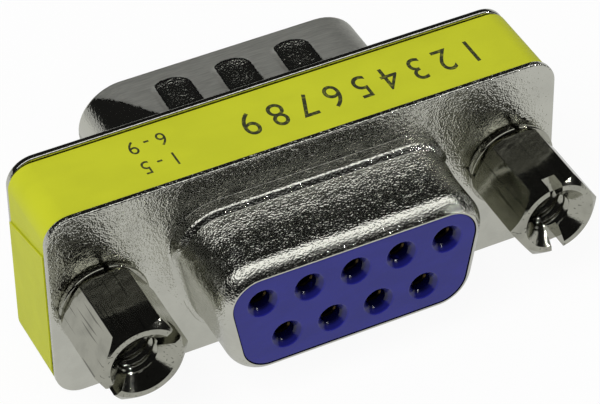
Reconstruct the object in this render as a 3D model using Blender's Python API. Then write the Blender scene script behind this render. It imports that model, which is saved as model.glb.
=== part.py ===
"""Slim nine-way D-sub adapter: sockets on one side, pins on the other.

Metres, +Z up. The long side lies along X, the socket side looks towards -Y and the pin side
towards +Y. The adapter stands on the long lower edges of its two flanges, at z = 0.

Every shape is worked out in the connector's own frame, whose origin is the centre of the
socket-side flange's front face, and an empty carries all pieces to the place they stand in.
"""

import math

import bmesh
import bpy

MM = 0.001

# The contacts' pattern, which sets the width and height of everything round it
CONTACT_PITCH = 2.77 * MM
ROW_SPACING = 2.84 * MM
UPPER_COUNT = 5

# From the outermost contacts out to the pin side's D, measured inside it
PIN_D_SIDE_MARGIN = 3.275 * MM
PIN_D_TOP_MARGIN = 2.68 * MM

# Room that the socket side's D has on each side inside another adapter's pin side
MATING_SIDE_GAP = 0.38 * MM
MATING_TOP_GAP = 0.33 * MM

# From the pin side's D out to the bushes' axes, and on to the flanges' edges
BUSH_MARGIN = 3.68 * MM
FLANGE_END_MARGIN = 2.91 * MM
FLANGE_TOP_MARGIN = 2.15 * MM

# Flanges and the band between them
SHEET = 0.40 * MM
FLANGE_CORNER = 1.60 * MM
BAND_DEPTH = 5.80 * MM
PIN_FLANGE_CUTBACK = 0.16 * MM
BAND_REACH = 0.07 * MM

# Drawn D of the socket side
SIDE_ANGLE = 10.0
SOCKET_D_CORNER = 2.35 * MM
SOCKET_DEPTH = 5.77 * MM
STEP_WIDTH = 0.46 * MM
STEP_HEIGHT = 0.78 * MM
STEP_SLOPE = 0.70 * MM
BASE_FILLET = 0.12 * MM
STEP_EDGE_RADIUS = 0.20 * MM
STEP_FOOT_RADIUS = 0.90 * MM
SIDE_FILLET = 0.50 * MM
LIP_WIDTH = 0.66 * MM
LIP_SHOULDER = 0.58 * MM
LIP_RISE = 0.39 * MM
LIP_RADIUS = 1.30 * MM

# Drawn D of the pin side
PIN_D_CORNER = 2.30 * MM
PIN_SHELL_DEPTH = 5.50 * MM
PIN_BASE_FILLET = 0.40 * MM

# Grounding dimples pressed into the pin side's D
DIMPLE_COUNT = 3
DIMPLE_PITCH = 3.70 * MM
DIMPLE_WIDTH = 1.95 * MM
DIMPLE_PRESS = 0.32 * MM
DIMPLE_FOOT_MARGIN = 0.90 * MM
DIMPLE_MOUTH_MARGIN = 1.00 * MM

# Contacts
PIN_RADIUS = 0.50 * MM
PIN_RECESS = 0.50 * MM
PIN_TIP = 0.45 * MM
BARREL_RADIUS = 0.72 * MM
BARREL_BORE_RADIUS = 0.53 * MM
BARREL_FLOOR = 2.73 * MM
BARREL_RECESS = 0.90 * MM
SLIT_WIDTH = 0.16 * MM
SLIT_LENGTH = 2.60 * MM
COLLAR_RADIUS = 0.86 * MM
COLLAR_LENGTH = 1.00 * MM

# Insulators
INSULATOR_RECESS = 0.03 * MM
FUNNEL_RADIUS = 0.95 * MM
FUNNEL_DEPTH = 0.55 * MM
ENTRY_RADIUS = 0.62 * MM
SEAT_WIDTH = 1.40 * MM
PIN_SEAT_DEPTH = 1.00 * MM
PIN_SEAT_BEVEL = 0.30 * MM

# Spacer frame and the label stuck round it
LABEL_THICKNESS = 0.08 * MM
LABEL_SINK = 0.15 * MM
LABEL_MARGIN = 0.08 * MM
LABEL_LAYER_GAP = 0.02 * MM
LABEL_SKEW = 0.15 * MM
LABEL_START_RISE = 1.45 * MM
LABEL_END_DROP = 1.00 * MM
LABEL_END_SLANT = 1.15 * MM

# Clinch bushes
BUSH_RADIUS = 1.95 * MM
BUSH_BORE_RADIUS = 1.50 * MM
BUSH_HEAD_RADIUS = 2.60 * MM
BUSH_HEAD_THICKNESS = 0.50 * MM
BUSH_HEAD_BEVEL = 0.15 * MM
PETAL_RADIUS = 2.68 * MM
PETAL_HEIGHT = 0.62 * MM
PETAL_CURL = 0.26 * MM
PETAL_COUNT = 4
PETAL_ANGLE = -5.0
NOTCH_ROOT_RADIUS = 1.78 * MM
NOTCH_MOUTH = 0.80 * MM

# Jack sockets
JACK_ACROSS_FLATS = 4.76 * MM
JACK_LENGTH = 5.00 * MM
JACK_END_RADIUS = 2.28 * MM
JACK_END_CHAMFER = 0.42 * MM
JACK_FOOT_RADIUS = 2.30 * MM
JACK_FOOT_CHAMFER = 0.30 * MM
JACK_BORE_RADIUS = 1.30 * MM
JACK_FLOOR = 0.70 * MM
JACK_SINK_RADIUS = 1.95 * MM
JACK_SINK_DEPTH = 0.75 * MM
JACK_SLOT_WIDTH = 0.80 * MM
JACK_SLOT_DEPTH = 0.95 * MM
HEX_SIDES = 6
STUD_RADIUS = 1.36 * MM
STUD_LENGTH = 5.20 * MM
STUD_CHAMFER = 0.30 * MM
STUD_ROOT = 0.25 * MM
LEFT_JACK_TURN = 33.0
RIGHT_JACK_TURN = 94.0

# Clearances between pieces that fit together
FIT = 0.05 * MM
SEAT_GAP = 0.04 * MM
CUT_OVERRUN = 0.50 * MM

# Faces along a corner, an edge radius and round pieces
CORNER_STEPS = 5
RADIUS_STEPS = 3
HOLE_SIDES = 14
CONTACT_SIDES = 10
BUSH_SIDES = 24
BORE_SIDES = 20
DIMPLE_STEPS = 3
DIMPLE_END_ANGLE = 48.0
PIN_TIP_ANGLE = 75.0
BLANK_SIDES = 28
SHARP_ANGLE = 30.0
STRAIGHT_TURN = 1e-6

# How much of the step there is at each point of a corner, from a leaning side to the flat
CORNER_SHARES = (0.0, 0.6, 1.0, 1.0, 1.0, 1.0)
STEP_SHARES = 2 * (CORNER_SHARES + CORNER_SHARES[::-1])

LOWER_COUNT = UPPER_COUNT - 1
PIN_D_WIDTH = (UPPER_COUNT - 1) * CONTACT_PITCH + 2 * PIN_D_SIDE_MARGIN
PIN_D_HEIGHT = ROW_SPACING + 2 * PIN_D_TOP_MARGIN
SOCKET_D_WIDTH = PIN_D_WIDTH - 2 * MATING_SIDE_GAP
SOCKET_D_HEIGHT = PIN_D_HEIGHT - 2 * MATING_TOP_GAP
BUSH_SPACING = PIN_D_WIDTH + 2 * BUSH_MARGIN
FLANGE_WIDTH = BUSH_SPACING + 2 * FLANGE_END_MARGIN
FLANGE_HEIGHT = PIN_D_HEIGHT + 2 * FLANGE_TOP_MARGIN
LEAN = math.radians(SIDE_ANGLE)
MIDDLE = BAND_DEPTH / 2
JACK_FOOT = PETAL_HEIGHT + SEAT_GAP
PIN_SHELL_END = BAND_DEPTH + PIN_SHELL_DEPTH
COLLAR_START = MIDDLE - COLLAR_LENGTH / 2
COLLAR_END = MIDDLE + COLLAR_LENGTH / 2


# Materials

def material(name, color, roughness, metallic):
    """A Principled material with the finish seen in the photograph."""
    mat = bpy.data.materials.new(name)
    mat.use_nodes = True
    shader = mat.node_tree.nodes["Principled BSDF"]
    shader.inputs["Base Color"].default_value = (*color, 1.0)
    shader.inputs["Roughness"].default_value = roughness
    shader.inputs["Metallic"].default_value = metallic
    mat.diffuse_color = (*color, 1.0)
    return mat


# Outlines, each a closed list of points (x, z) with the same number of points a corner

def arc(center, radius, start, end, steps=CORNER_STEPS):
    """Points of an arc about a centre, from one angle to another in degrees."""
    angles = [math.radians(start + (end - start) * i / steps) for i in range(steps + 1)]
    return [(center[0] + radius * math.cos(a), center[1] + radius * math.sin(a)) for a in angles]


def d_outline(width, height, corner, offset):
    """A D with a flat top and bottom and leaning sides, set off outwards by an offset.

    Width is taken at the top line. The corners' centres stay where they are, so every offset
    is parallel to the first outline.
    """
    half = height / 2
    middle_half_width = width / 2 - half * math.tan(LEAN)

    def center(z):
        return middle_half_width + z * math.tan(LEAN) - corner / math.cos(LEAN)

    top = half - corner
    bottom = corner - half
    radius = corner + offset
    points = arc((center(top), top), radius, -SIDE_ANGLE, 90)
    points += arc((-center(top), top), radius, 90, 180 + SIDE_ANGLE)
    points += arc((-center(bottom), bottom), radius, 180 + SIDE_ANGLE, 270)
    points += arc((center(bottom), bottom), radius, 270, 360 - SIDE_ANGLE)
    return points


def socket_d(offset):
    """The socket side's outer D, set off outwards."""
    return d_outline(SOCKET_D_WIDTH, SOCKET_D_HEIGHT, SOCKET_D_CORNER, offset)


def pin_d(offset):
    """The pin side's outer D, which is the inner D plus the sheet, set off outwards."""
    return d_outline(PIN_D_WIDTH, PIN_D_HEIGHT, PIN_D_CORNER, SHEET + offset)


def rounded_rectangle(inset, reach=0.0):
    """The flange's outline, set in from its edges, with its ends further out by a reach."""
    x = FLANGE_WIDTH / 2 - FLANGE_CORNER + reach
    z = FLANGE_HEIGHT / 2 - FLANGE_CORNER
    radius = FLANGE_CORNER - inset
    points = arc((x, z), radius, 0, 90)
    points += arc((-x, z), radius, 90, 180)
    points += arc((-x, -z), radius, 180, 270)
    points += arc((x, -z), radius, 270, 360)
    return points


def ring(outline, y):
    """An outline placed across the adapter at a depth."""
    return [(x, y, z) for x, z in outline]


# Sheet profiles, as points (offset from the D, depth)

def unit(a, b):
    """The direction from one profile point to the next, with length 1."""
    length = math.hypot(b[0] - a[0], b[1] - a[1])
    return ((b[0] - a[0]) / length, (b[1] - a[1]) / length)


def turn_at(corners, i):
    """The left normals before and after a corner, and the sine of its turn."""
    before = unit(corners[i - 1], corners[i])
    after = unit(corners[i], corners[i + 1])
    sine = before[0] * after[1] - before[1] * after[0]
    return (-before[1], before[0]), (-after[1], after[0]), sine


def parallel(corners, radii, distance):
    """The path at a distance to the left of a cornered path, with its corner radii to match."""
    first = unit(corners[0], corners[1])
    last = unit(corners[-2], corners[-1])
    points = [(corners[0][0] - first[1] * distance, corners[0][1] + first[0] * distance)]
    new_radii = [0.0]
    for i in range(1, len(corners) - 1):
        n1, n2, sine = turn_at(corners, i)
        scale = distance / (1 + n1[0] * n2[0] + n1[1] * n2[1])
        points.append((corners[i][0] + (n1[0] + n2[0]) * scale,
                       corners[i][1] + (n1[1] + n2[1]) * scale))
        change = -distance if sine > 0 else distance
        new_radii.append(max(radii[i] + change, 0.0))
    points.append((corners[-1][0] - last[1] * distance, corners[-1][1] + last[0] * distance))
    new_radii.append(0.0)
    return points, new_radii


def rounded_path(corners, radii, steps=RADIUS_STEPS):
    """A cornered path with an arc of the given radius at each corner."""
    path = [corners[0]]
    for i in range(1, len(corners) - 1):
        n1, n2, sine = turn_at(corners, i)
        if radii[i] <= 0.0 or abs(sine) < STRAIGHT_TURN:
            path.append(corners[i])
            continue
        side = 1 if sine > 0 else -1
        scale = side * radii[i] / (1 + n1[0] * n2[0] + n1[1] * n2[1])
        center = (corners[i][0] + (n1[0] + n2[0]) * scale, corners[i][1] + (n1[1] + n2[1]) * scale)
        start = math.atan2(-side * n1[1], -side * n1[0])
        sweep = math.atan2(sine, n1[0] * n2[0] + n1[1] * n2[1])
        for step in range(steps + 1):
            angle = start + sweep * step / steps
            path.append((center[0] + radii[i] * math.cos(angle),
                         center[1] + radii[i] * math.sin(angle)))
    path.append(corners[-1])
    return path


def socket_corners():
    """The socket shell's outer side, from its lip's shoulder back to the flange's front face."""
    corners = [
        (-LIP_SHOULDER, -SOCKET_DEPTH),
        (0.0, LIP_RISE - SOCKET_DEPTH),
        (0.0, -STEP_HEIGHT - STEP_SLOPE),
        (STEP_WIDTH, -STEP_HEIGHT),
        (STEP_WIDTH, 0.0),
        (SEAT_WIDTH, 0.0),
    ]
    radii = [0.0, LIP_RADIUS, STEP_FOOT_RADIUS, STEP_EDGE_RADIUS, BASE_FILLET, 0.0]
    return corners, radii


def part_way(start, end, share):
    """The point a share of the way from one point to another."""
    return tuple(a + (b - a) * share for a, b in zip(start, end))


def trimmed(path, offset):
    """The path from the place where it comes out to an offset."""
    i = next(i for i, point in enumerate(path) if point[0] > offset)
    before, after = path[i - 1], path[i]
    share = (offset - before[0]) / (after[0] - before[0])
    return [part_way(before, after, share)] + path[i:]


def beside_step(path, distance):
    """The path that the D's leaning sides have in place of the step: one plain fillet.

    The points in front of the step stay, and those on it are spread along an arc that meets the
    wall and the flange, at the same distance inside the shell's outer side.
    """
    on_step = [i for i, point in enumerate(path) if point[1] > -STEP_HEIGHT - STEP_SLOPE]
    radius = SIDE_FILLET + distance
    fillet = arc((SIDE_FILLET, -SIDE_FILLET), radius, 180, 90, len(on_step) - 1)
    return path[:on_step[0]] + fillet


def socket_rings(path, distance):
    """Outlines that follow the step round the D's corners and the plain fillet at its sides."""
    rings = []
    for on_step, beside in zip(path, beside_step(path, distance)):
        plain = ring(socket_d(beside[0]), beside[1])
        stepped = ring(socket_d(on_step[0]), on_step[1])
        rings.append([part_way(a, b, share) for a, b, share in zip(plain, stepped, STEP_SHARES)])
    return rings


# Mesh building

def loft(rings, closed):
    """A mesh of faces between rings that follow each other.

    A closed loft joins its last ring to its first, as a tube bent on itself does. An open one
    gets a flat cap at each end.
    """
    mesh = bmesh.new()
    rows = [[mesh.verts.new(point) for point in points] for points in rings]
    pairs = list(zip(rows, rows[1:]))
    if closed:
        pairs.append((rows[-1], rows[0]))
    else:
        mesh.faces.new(rows[0])
        mesh.faces.new(rows[-1])
    for near, far in pairs:
        for i in range(len(near)):
            j = (i + 1) % len(near)
            mesh.faces.new((near[i], near[j], far[j], far[i]))
    bmesh.ops.recalc_face_normals(mesh, faces=mesh.faces)
    return mesh


def turned(profile, sides, closed=False, center=(0.0, 0.0)):
    """A round piece about a line along Y, from its profile of points (radius, depth)."""
    angles = [2 * math.pi * i / sides for i in range(sides)]
    rings = [[(center[0] + r * math.cos(a), y, center[1] + r * math.sin(a)) for a in angles]
             for r, y in profile]
    return loft(rings, closed)


def block(low, high):
    """A box between two corners."""
    rings = []
    for y in (low[1], high[1]):
        rings.append([(low[0], y, low[2]), (high[0], y, low[2]),
                      (high[0], y, high[2]), (low[0], y, high[2])])
    return loft(rings, False)


def merge(meshes):
    """Several meshes that stay apart, as one."""
    whole = bmesh.new()
    for part in meshes:
        data = bpy.data.meshes.new("part")
        part.to_mesh(data)
        part.free()
        whole.from_mesh(data)
        bpy.data.meshes.remove(data)
    return whole


def add_object(name, mesh, mat=None):
    """Puts a mesh into the scene under a name."""
    data = bpy.data.meshes.new(name)
    mesh.to_mesh(data)
    mesh.free()
    obj = bpy.data.objects.new(name, data)
    bpy.context.scene.collection.objects.link(obj)
    if mat:
        finish(obj, mat)
    return obj


def finish(obj, mat):
    """Gives an object its material and smooth round faces, and hangs it on the adapter."""
    obj.data.materials.append(mat)
    obj.data.shade_smooth()
    obj.data.set_sharp_from_angle(angle=math.radians(SHARP_ANGLE))
    obj.parent = bpy.data.objects["adapter"]


def add_cutter(name, mesh):
    """A hidden mesh that a Boolean modifier reads, drawn as wire."""
    cutter = add_object(name, mesh)
    cutter.display_type = "WIRE"
    cutter.hide_render = True
    cutter.parent = bpy.data.objects["adapter"]
    return cutter


def boolean(obj, operation, other):
    """Adds an exact Boolean modifier."""
    modifier = obj.modifiers.new(other.name, "BOOLEAN")
    modifier.operation = operation
    modifier.solver = "EXACT"
    modifier.object = other


def settled(obj):
    """The object's mesh with its modifiers worked in, for pieces that share one mesh."""
    bpy.context.view_layer.update()
    seen = obj.evaluated_get(bpy.context.evaluated_depsgraph_get())
    data = bpy.data.meshes.new_from_object(seen)
    cutters = [modifier.object for modifier in obj.modifiers]
    for done in [obj, *cutters]:
        bpy.data.objects.remove(done)
    return data


def contact_places():
    """The contacts' (x, z) places: five in the upper row and four in the lower."""
    rows = ((UPPER_COUNT, ROW_SPACING / 2), (LOWER_COUNT, -ROW_SPACING / 2))
    return [((i - (count - 1) / 2) * CONTACT_PITCH, z) for count, z in rows for i in range(count)]


def bush_places():
    """The two bushes' x places, left and right."""
    return (("left", -BUSH_SPACING / 2), ("right", BUSH_SPACING / 2))


# Shells

def bush_holes():
    """The cutter for the round holes that the bushes pass through."""
    low = -CUT_OVERRUN
    high = BAND_DEPTH + CUT_OVERRUN
    radius = BUSH_RADIUS + FIT
    profile = [(radius, low), (radius, high)]
    meshes = [turned(profile, BORE_SIDES, center=(x, 0.0)) for side, x in bush_places()]
    return add_cutter("bush_holes", merge(meshes))


def socket_shell(mat, holes):
    """The socket side's drawn shell, one sheet from the flange's edge to the turned-in lip."""
    corners, radii = socket_corners()
    inner_corners, inner_radii = parallel(corners, radii, SHEET)
    outer = [(-LIP_WIDTH, -SOCKET_DEPTH)] + rounded_path(corners, radii)[:-1]
    inner = trimmed(rounded_path(inner_corners, inner_radii)[:-1], -LIP_WIDTH)
    rings = [ring(rounded_rectangle(0.0), 0.0)]
    rings += reversed(socket_rings(outer, 0.0))
    rings += socket_rings(inner, SHEET)
    rings.append(ring(rounded_rectangle(0.0), SHEET))
    shell = add_object("female_shell", loft(rings, True), mat)
    boolean(shell, "DIFFERENCE", holes)


def dimple_radius():
    """The radius of the bar that leaves a dimple of this width at this depth."""
    return ((DIMPLE_WIDTH / 2) ** 2 + DIMPLE_PRESS ** 2) / (2 * DIMPLE_PRESS)


def ball_ended_bar(x, z, radius):
    """A round bar along Y as long as a dimple, with both ends turned as part of a ball."""
    near = BAND_DEPTH + DIMPLE_FOOT_MARGIN + DIMPLE_WIDTH / 2
    far = PIN_SHELL_END - DIMPLE_MOUTH_MARGIN - DIMPLE_WIDTH / 2
    profile = []
    for step in range(DIMPLE_STEPS, -1, -1):
        angle = math.radians(DIMPLE_END_ANGLE * step / DIMPLE_STEPS)
        profile.append((radius * math.cos(angle), near - radius * math.sin(angle)))
    for step in range(DIMPLE_STEPS + 1):
        angle = math.radians(DIMPLE_END_ANGLE * step / DIMPLE_STEPS)
        profile.append((radius * math.cos(angle), far + radius * math.sin(angle)))
    return turned(profile, BORE_SIDES, center=(x, z))


def dimple_bars(radius):
    """Bars over all dimples, on the wide and on the narrow side of the D."""
    height = PIN_D_HEIGHT / 2 + SHEET + dimple_radius() - DIMPLE_PRESS
    places = [(i - (DIMPLE_COUNT - 1) / 2) * DIMPLE_PITCH for i in range(DIMPLE_COUNT)]
    return [ball_ended_bar(x, side * height, radius) for side in (1, -1) for x in places]


def press_dimples(shell):
    """Adds the sheet that a dimple pushes inwards, then cuts its hollow from outside."""
    inside = PIN_D_HEIGHT / 2 + SHEET / 2
    core = block((-PIN_D_WIDTH, BAND_DEPTH, -inside), (PIN_D_WIDTH, PIN_SHELL_END, inside))
    bulges = add_cutter("dimple_bulges", merge(dimple_bars(dimple_radius() + SHEET)))
    boolean(bulges, "INTERSECT", add_cutter("dimple_core", core))
    boolean(shell, "UNION", bulges)
    hollows = add_cutter("dimple_hollows", merge(dimple_bars(dimple_radius())))
    boolean(shell, "DIFFERENCE", hollows)


def pin_shell(mat, holes):
    """The pin side's drawn shell, with the dimples pressed in from outside."""
    corners = [
        (SEAT_WIDTH, BAND_DEPTH),
        (0.0, BAND_DEPTH),
        (0.0, PIN_SHELL_END),
    ]
    radii = [0.0, PIN_BASE_FILLET, 0.0]
    inner_corners, inner_radii = parallel(corners, radii, SHEET)
    outer = rounded_path(corners, radii)[1:]
    inner = rounded_path(inner_corners, inner_radii)[1:]
    edge = rounded_rectangle(0.0, -PIN_FLANGE_CUTBACK)
    rings = [ring(edge, BAND_DEPTH)]
    rings += [ring(pin_d(offset), y) for offset, y in outer]
    rings += [ring(pin_d(offset), y) for offset, y in reversed(inner)]
    rings.append(ring(edge, BAND_DEPTH - SHEET))
    shell = add_object("male_shell", loft(rings, True), mat)
    press_dimples(shell)
    boolean(shell, "DIFFERENCE", holes)


# Insulators

def hole_profile_front():
    """A socket hole from the face inwards: funnel, entry, bore and half the collar's pocket."""
    face = INSULATOR_RECESS - SOCKET_DEPTH
    slope = (FUNNEL_RADIUS - ENTRY_RADIUS) / FUNNEL_DEPTH
    barrel = BARREL_RECESS - SOCKET_DEPTH - FIT
    return [
        (FUNNEL_RADIUS + slope * CUT_OVERRUN, face - CUT_OVERRUN),
        (ENTRY_RADIUS, face + FUNNEL_DEPTH),
        (ENTRY_RADIUS, barrel),
        (BARREL_RADIUS + FIT, barrel),
        (BARREL_RADIUS + FIT, COLLAR_START - FIT),
        (COLLAR_RADIUS + FIT, COLLAR_START - FIT),
        (COLLAR_RADIUS + FIT, MIDDLE + CUT_OVERRUN),
    ]


def hole_profile_rear():
    """A pin hole: the other half of the collar's pocket, then a close bore."""
    return [
        (COLLAR_RADIUS + FIT, MIDDLE - CUT_OVERRUN),
        (COLLAR_RADIUS + FIT, COLLAR_END + FIT),
        (PIN_RADIUS + FIT, COLLAR_END + FIT),
        (PIN_RADIUS + FIT, BAND_DEPTH + PIN_SEAT_DEPTH + CUT_OVERRUN),
    ]


def contact_holes(name, profile):
    """The cutter for one hole at every contact."""
    return add_cutter(name, merge([turned(profile, HOLE_SIDES, center=place)
                                   for place in contact_places()]))


def socket_insulator(mat):
    """The socket side's moulding, which fills its shell and is held behind the flange."""
    corners, radii = socket_corners()
    nose = -LIP_WIDTH - FIT
    path = trimmed(rounded_path(*parallel(corners, radii, SHEET + FIT)), nose)
    rings = [ring(socket_d(nose), INSULATOR_RECESS - SOCKET_DEPTH)]
    rings += socket_rings(path[:-1], SHEET + FIT)
    rings.append(ring(socket_d(SEAT_WIDTH), SHEET + FIT))
    rings.append(ring(socket_d(SEAT_WIDTH), MIDDLE - SEAT_GAP / 2))
    body = add_object("female_insulator", loft(rings, False), mat)
    boolean(body, "DIFFERENCE", contact_holes("socket_holes", hole_profile_front()))


def pin_insulator(mat):
    """The pin side's moulding, whose plinth stands in the bottom of the pin shell."""
    neck = -SHEET - FIT
    flange_back = BAND_DEPTH - SHEET - FIT
    face = BAND_DEPTH + PIN_SEAT_DEPTH
    rings = [
        ring(socket_d(SEAT_WIDTH), MIDDLE + SEAT_GAP / 2),
        ring(socket_d(SEAT_WIDTH), flange_back),
        ring(pin_d(neck), flange_back),
        ring(pin_d(neck), face - PIN_SEAT_BEVEL),
        ring(pin_d(neck - PIN_SEAT_BEVEL), face),
    ]
    body = add_object("male_insulator", loft(rings, False), mat)
    boolean(body, "DIFFERENCE", contact_holes("pin_holes", hole_profile_rear()))


# Contacts

def contact_mesh(mat):
    """One contact: slit socket barrel, collar and pin with a round tip, about its own axis."""
    front = BARREL_RECESS - SOCKET_DEPTH
    tip = PIN_SHELL_END - PIN_RECESS
    profile = [
        (BARREL_BORE_RADIUS, COLLAR_START - BARREL_FLOOR),
        (BARREL_BORE_RADIUS, front),
        (BARREL_RADIUS, front),
        (BARREL_RADIUS, COLLAR_START),
        (COLLAR_RADIUS, COLLAR_START),
        (COLLAR_RADIUS, COLLAR_END),
        (PIN_RADIUS, COLLAR_END),
    ]
    for step in range(RADIUS_STEPS + 1):
        angle = math.radians(PIN_TIP_ANGLE * step / RADIUS_STEPS)
        profile.append((PIN_RADIUS * math.cos(angle), tip - PIN_TIP * (1 - math.sin(angle))))
    blank = add_object("contact", turned(profile, CONTACT_SIDES), mat)
    slit = block((-2 * BARREL_RADIUS, front - CUT_OVERRUN, -SLIT_WIDTH / 2),
                 (2 * BARREL_RADIUS, front + SLIT_LENGTH, SLIT_WIDTH / 2))
    boolean(blank, "DIFFERENCE", add_cutter("contact_slit", slit))
    return settled(blank)


def add_copy(name, data, x, z, turn=0.0):
    """One more object on a shared mesh, turned about its axis along Y, in degrees."""
    obj = bpy.data.objects.new(name, data)
    bpy.context.scene.collection.objects.link(obj)
    obj.parent = bpy.data.objects["adapter"]
    obj.location = (x, 0.0, z)
    obj.rotation_euler = (0.0, -math.radians(turn), 0.0)


def contacts(mat):
    """Nine contacts, numbered along the upper row and then along the lower."""
    data = contact_mesh(mat)
    for number, (x, z) in enumerate(contact_places(), start=1):
        add_copy(f"contact_{number}", data, x, z)


# Spacer frame and label

def spacer(mat, holes):
    """The moulded frame that keeps the flanges apart and carries the label."""
    edge = rounded_rectangle(LABEL_SINK + LABEL_THICKNESS + FIT, BAND_REACH)
    window = socket_d(SEAT_WIDTH + FIT)
    front = SHEET + FIT
    rear = BAND_DEPTH - SHEET - FIT
    rings = [ring(edge, front), ring(edge, rear), ring(window, rear), ring(window, front)]
    frame = add_object("spacer_frame", loft(rings, True), mat)
    boolean(frame, "DIFFERENCE", holes)


def label_station(x, z, angle, lift, skew, end_shift=0.0):
    """The label's cross-section where the spacer's edge faces along an angle."""
    inner = FIT / 2 + lift
    outer = inner + LABEL_THICKNESS
    front = SHEET + LABEL_MARGIN + skew
    rear = BAND_DEPTH - SHEET - LABEL_MARGIN
    across = (math.cos(math.radians(angle)), math.sin(math.radians(angle)))
    return [
        (x + inner * across[0], front, z + inner * across[1]),
        (x + outer * across[0], front, z + outer * across[1]),
        (x + outer * across[0], rear, z + outer * across[1] + end_shift),
        (x + inner * across[0], rear, z + inner * across[1] + end_shift),
    ]


def label(mat):
    """The adhesive label: up the left end, once round, and over its own start to a cut end."""
    inset = LABEL_SINK + LABEL_THICKNESS + FIT
    radius = FLANGE_CORNER - inset
    x = FLANGE_WIDTH / 2 - FLANGE_CORNER + BAND_REACH
    z = FLANGE_HEIGHT / 2 - FLANGE_CORNER
    edge = x + radius
    layer = LABEL_THICKNESS + LABEL_LAYER_GAP
    rings = [label_station(-edge, LABEL_START_RISE - z, 180, 0.0, 0.0)]
    for center, start in (((-x, z), 180), ((x, z), 90), ((x, -z), 0), ((-x, -z), -90)):
        for i in range(CORNER_STEPS + 1):
            angle = start - 90 * i / CORNER_STEPS
            rise = i / CORNER_STEPS if start == -90 else 0.0
            px = center[0] + radius * math.cos(math.radians(angle))
            pz = center[1] + radius * math.sin(math.radians(angle))
            rings.append(label_station(px, pz, angle, layer * rise, LABEL_SKEW * rise))
    rings.append(label_station(-edge, z - LABEL_END_DROP, 180, layer, LABEL_SKEW, -LABEL_END_SLANT))
    add_object("label", loft(rings, False), mat)


# Hardware at both ends

def petal_notches():
    """The wedges that part a bush's flared end into petals."""
    reach = PETAL_RADIUS + CUT_OVERRUN
    half = NOTCH_MOUTH / 2 * (reach - NOTCH_ROOT_RADIUS) / (PETAL_RADIUS - NOTCH_ROOT_RADIUS)
    meshes = []
    for i in range(PETAL_COUNT):
        turn = math.radians(PETAL_ANGLE + 360 * i / PETAL_COUNT)
        along = (math.cos(turn), math.sin(turn))
        wedge = [(NOTCH_ROOT_RADIUS, 0.0), (reach, -half), (reach, half)]
        outline = [(r * along[0] - t * along[1], r * along[1] + t * along[0]) for r, t in wedge]
        meshes.append(loft([ring(outline, -PETAL_HEIGHT - CUT_OVERRUN), ring(outline, 0.0)], False))
    return add_cutter("petal_notches", merge(meshes))


def bush_mesh(mat):
    """A clinch bush: headed at the pin side, flared into petals at the socket side."""
    head = BAND_DEPTH + SEAT_GAP
    rear = head + BUSH_HEAD_THICKNESS
    profile = [
        (BUSH_BORE_RADIUS, rear),
        (BUSH_BORE_RADIUS, -PETAL_HEIGHT),
        (PETAL_RADIUS - PETAL_CURL, -PETAL_HEIGHT),
        (PETAL_RADIUS, PETAL_CURL - PETAL_HEIGHT),
        (PETAL_RADIUS, -SEAT_GAP),
        (BUSH_RADIUS, -SEAT_GAP),
        (BUSH_RADIUS, head),
        (BUSH_HEAD_RADIUS, head),
        (BUSH_HEAD_RADIUS, rear - BUSH_HEAD_BEVEL),
        (BUSH_HEAD_RADIUS - BUSH_HEAD_BEVEL, rear),
    ]
    bush = add_object("clinch_bush", turned(profile, BUSH_SIDES, closed=True), mat)
    boolean(bush, "DIFFERENCE", petal_notches())
    return settled(bush)


def jack_mesh(mat):
    """A jack socket: hexagon with chamfered ends, tapped bore, driver slot and stud."""
    foot = -JACK_FOOT
    end = foot - JACK_LENGTH
    point_radius = JACK_ACROSS_FLATS / 2 / math.cos(math.pi / HEX_SIDES)
    points = [math.pi * (2 * i + 1) / HEX_SIDES for i in range(HEX_SIDES)]
    hexagon = [(point_radius * math.cos(a), point_radius * math.sin(a)) for a in points]
    jack = add_object("jack_socket", loft([ring(hexagon, foot), ring(hexagon, end)], False), mat)
    blank = [
        (JACK_FOOT_RADIUS, foot),
        (point_radius + FIT, foot - JACK_FOOT_CHAMFER),
        (point_radius + FIT, end + JACK_END_CHAMFER),
        (JACK_END_RADIUS, end),
    ]
    boolean(jack, "INTERSECT", add_cutter("jack_blank", turned(blank, BLANK_SIDES)))
    stud_end = foot + STUD_LENGTH
    stud = [
        (STUD_RADIUS, foot - STUD_ROOT),
        (STUD_RADIUS, stud_end - STUD_CHAMFER),
        (STUD_RADIUS - STUD_CHAMFER, stud_end),
    ]
    boolean(jack, "UNION", add_cutter("jack_stud", turned(stud, HOLE_SIDES)))
    slope = (JACK_SINK_RADIUS - JACK_BORE_RADIUS) / JACK_SINK_DEPTH
    bore = [
        (JACK_SINK_RADIUS + slope * CUT_OVERRUN, end - CUT_OVERRUN),
        (JACK_BORE_RADIUS, end + JACK_SINK_DEPTH),
        (JACK_BORE_RADIUS, foot - JACK_FLOOR),
    ]
    boolean(jack, "DIFFERENCE", add_cutter("jack_bore", turned(bore, BORE_SIDES)))
    slot = block((-JACK_ACROSS_FLATS, end - CUT_OVERRUN, -JACK_SLOT_WIDTH / 2),
                 (JACK_ACROSS_FLATS, end + JACK_SLOT_DEPTH, JACK_SLOT_WIDTH / 2))
    boolean(jack, "DIFFERENCE", add_cutter("jack_slot", slot))
    return settled(jack)


def hardware(mat):
    """A clinch bush and a jack socket at each end, the jack sockets as they were tightened."""
    bush = bush_mesh(mat)
    jack = jack_mesh(mat)
    turns = {"left": LEFT_JACK_TURN, "right": RIGHT_JACK_TURN}
    for side, x in bush_places():
        add_copy(f"clinch_bush_{side}", bush, x, 0.0)
        add_copy(f"jack_socket_{side}", jack, x, 0.0, turns[side])


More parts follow.
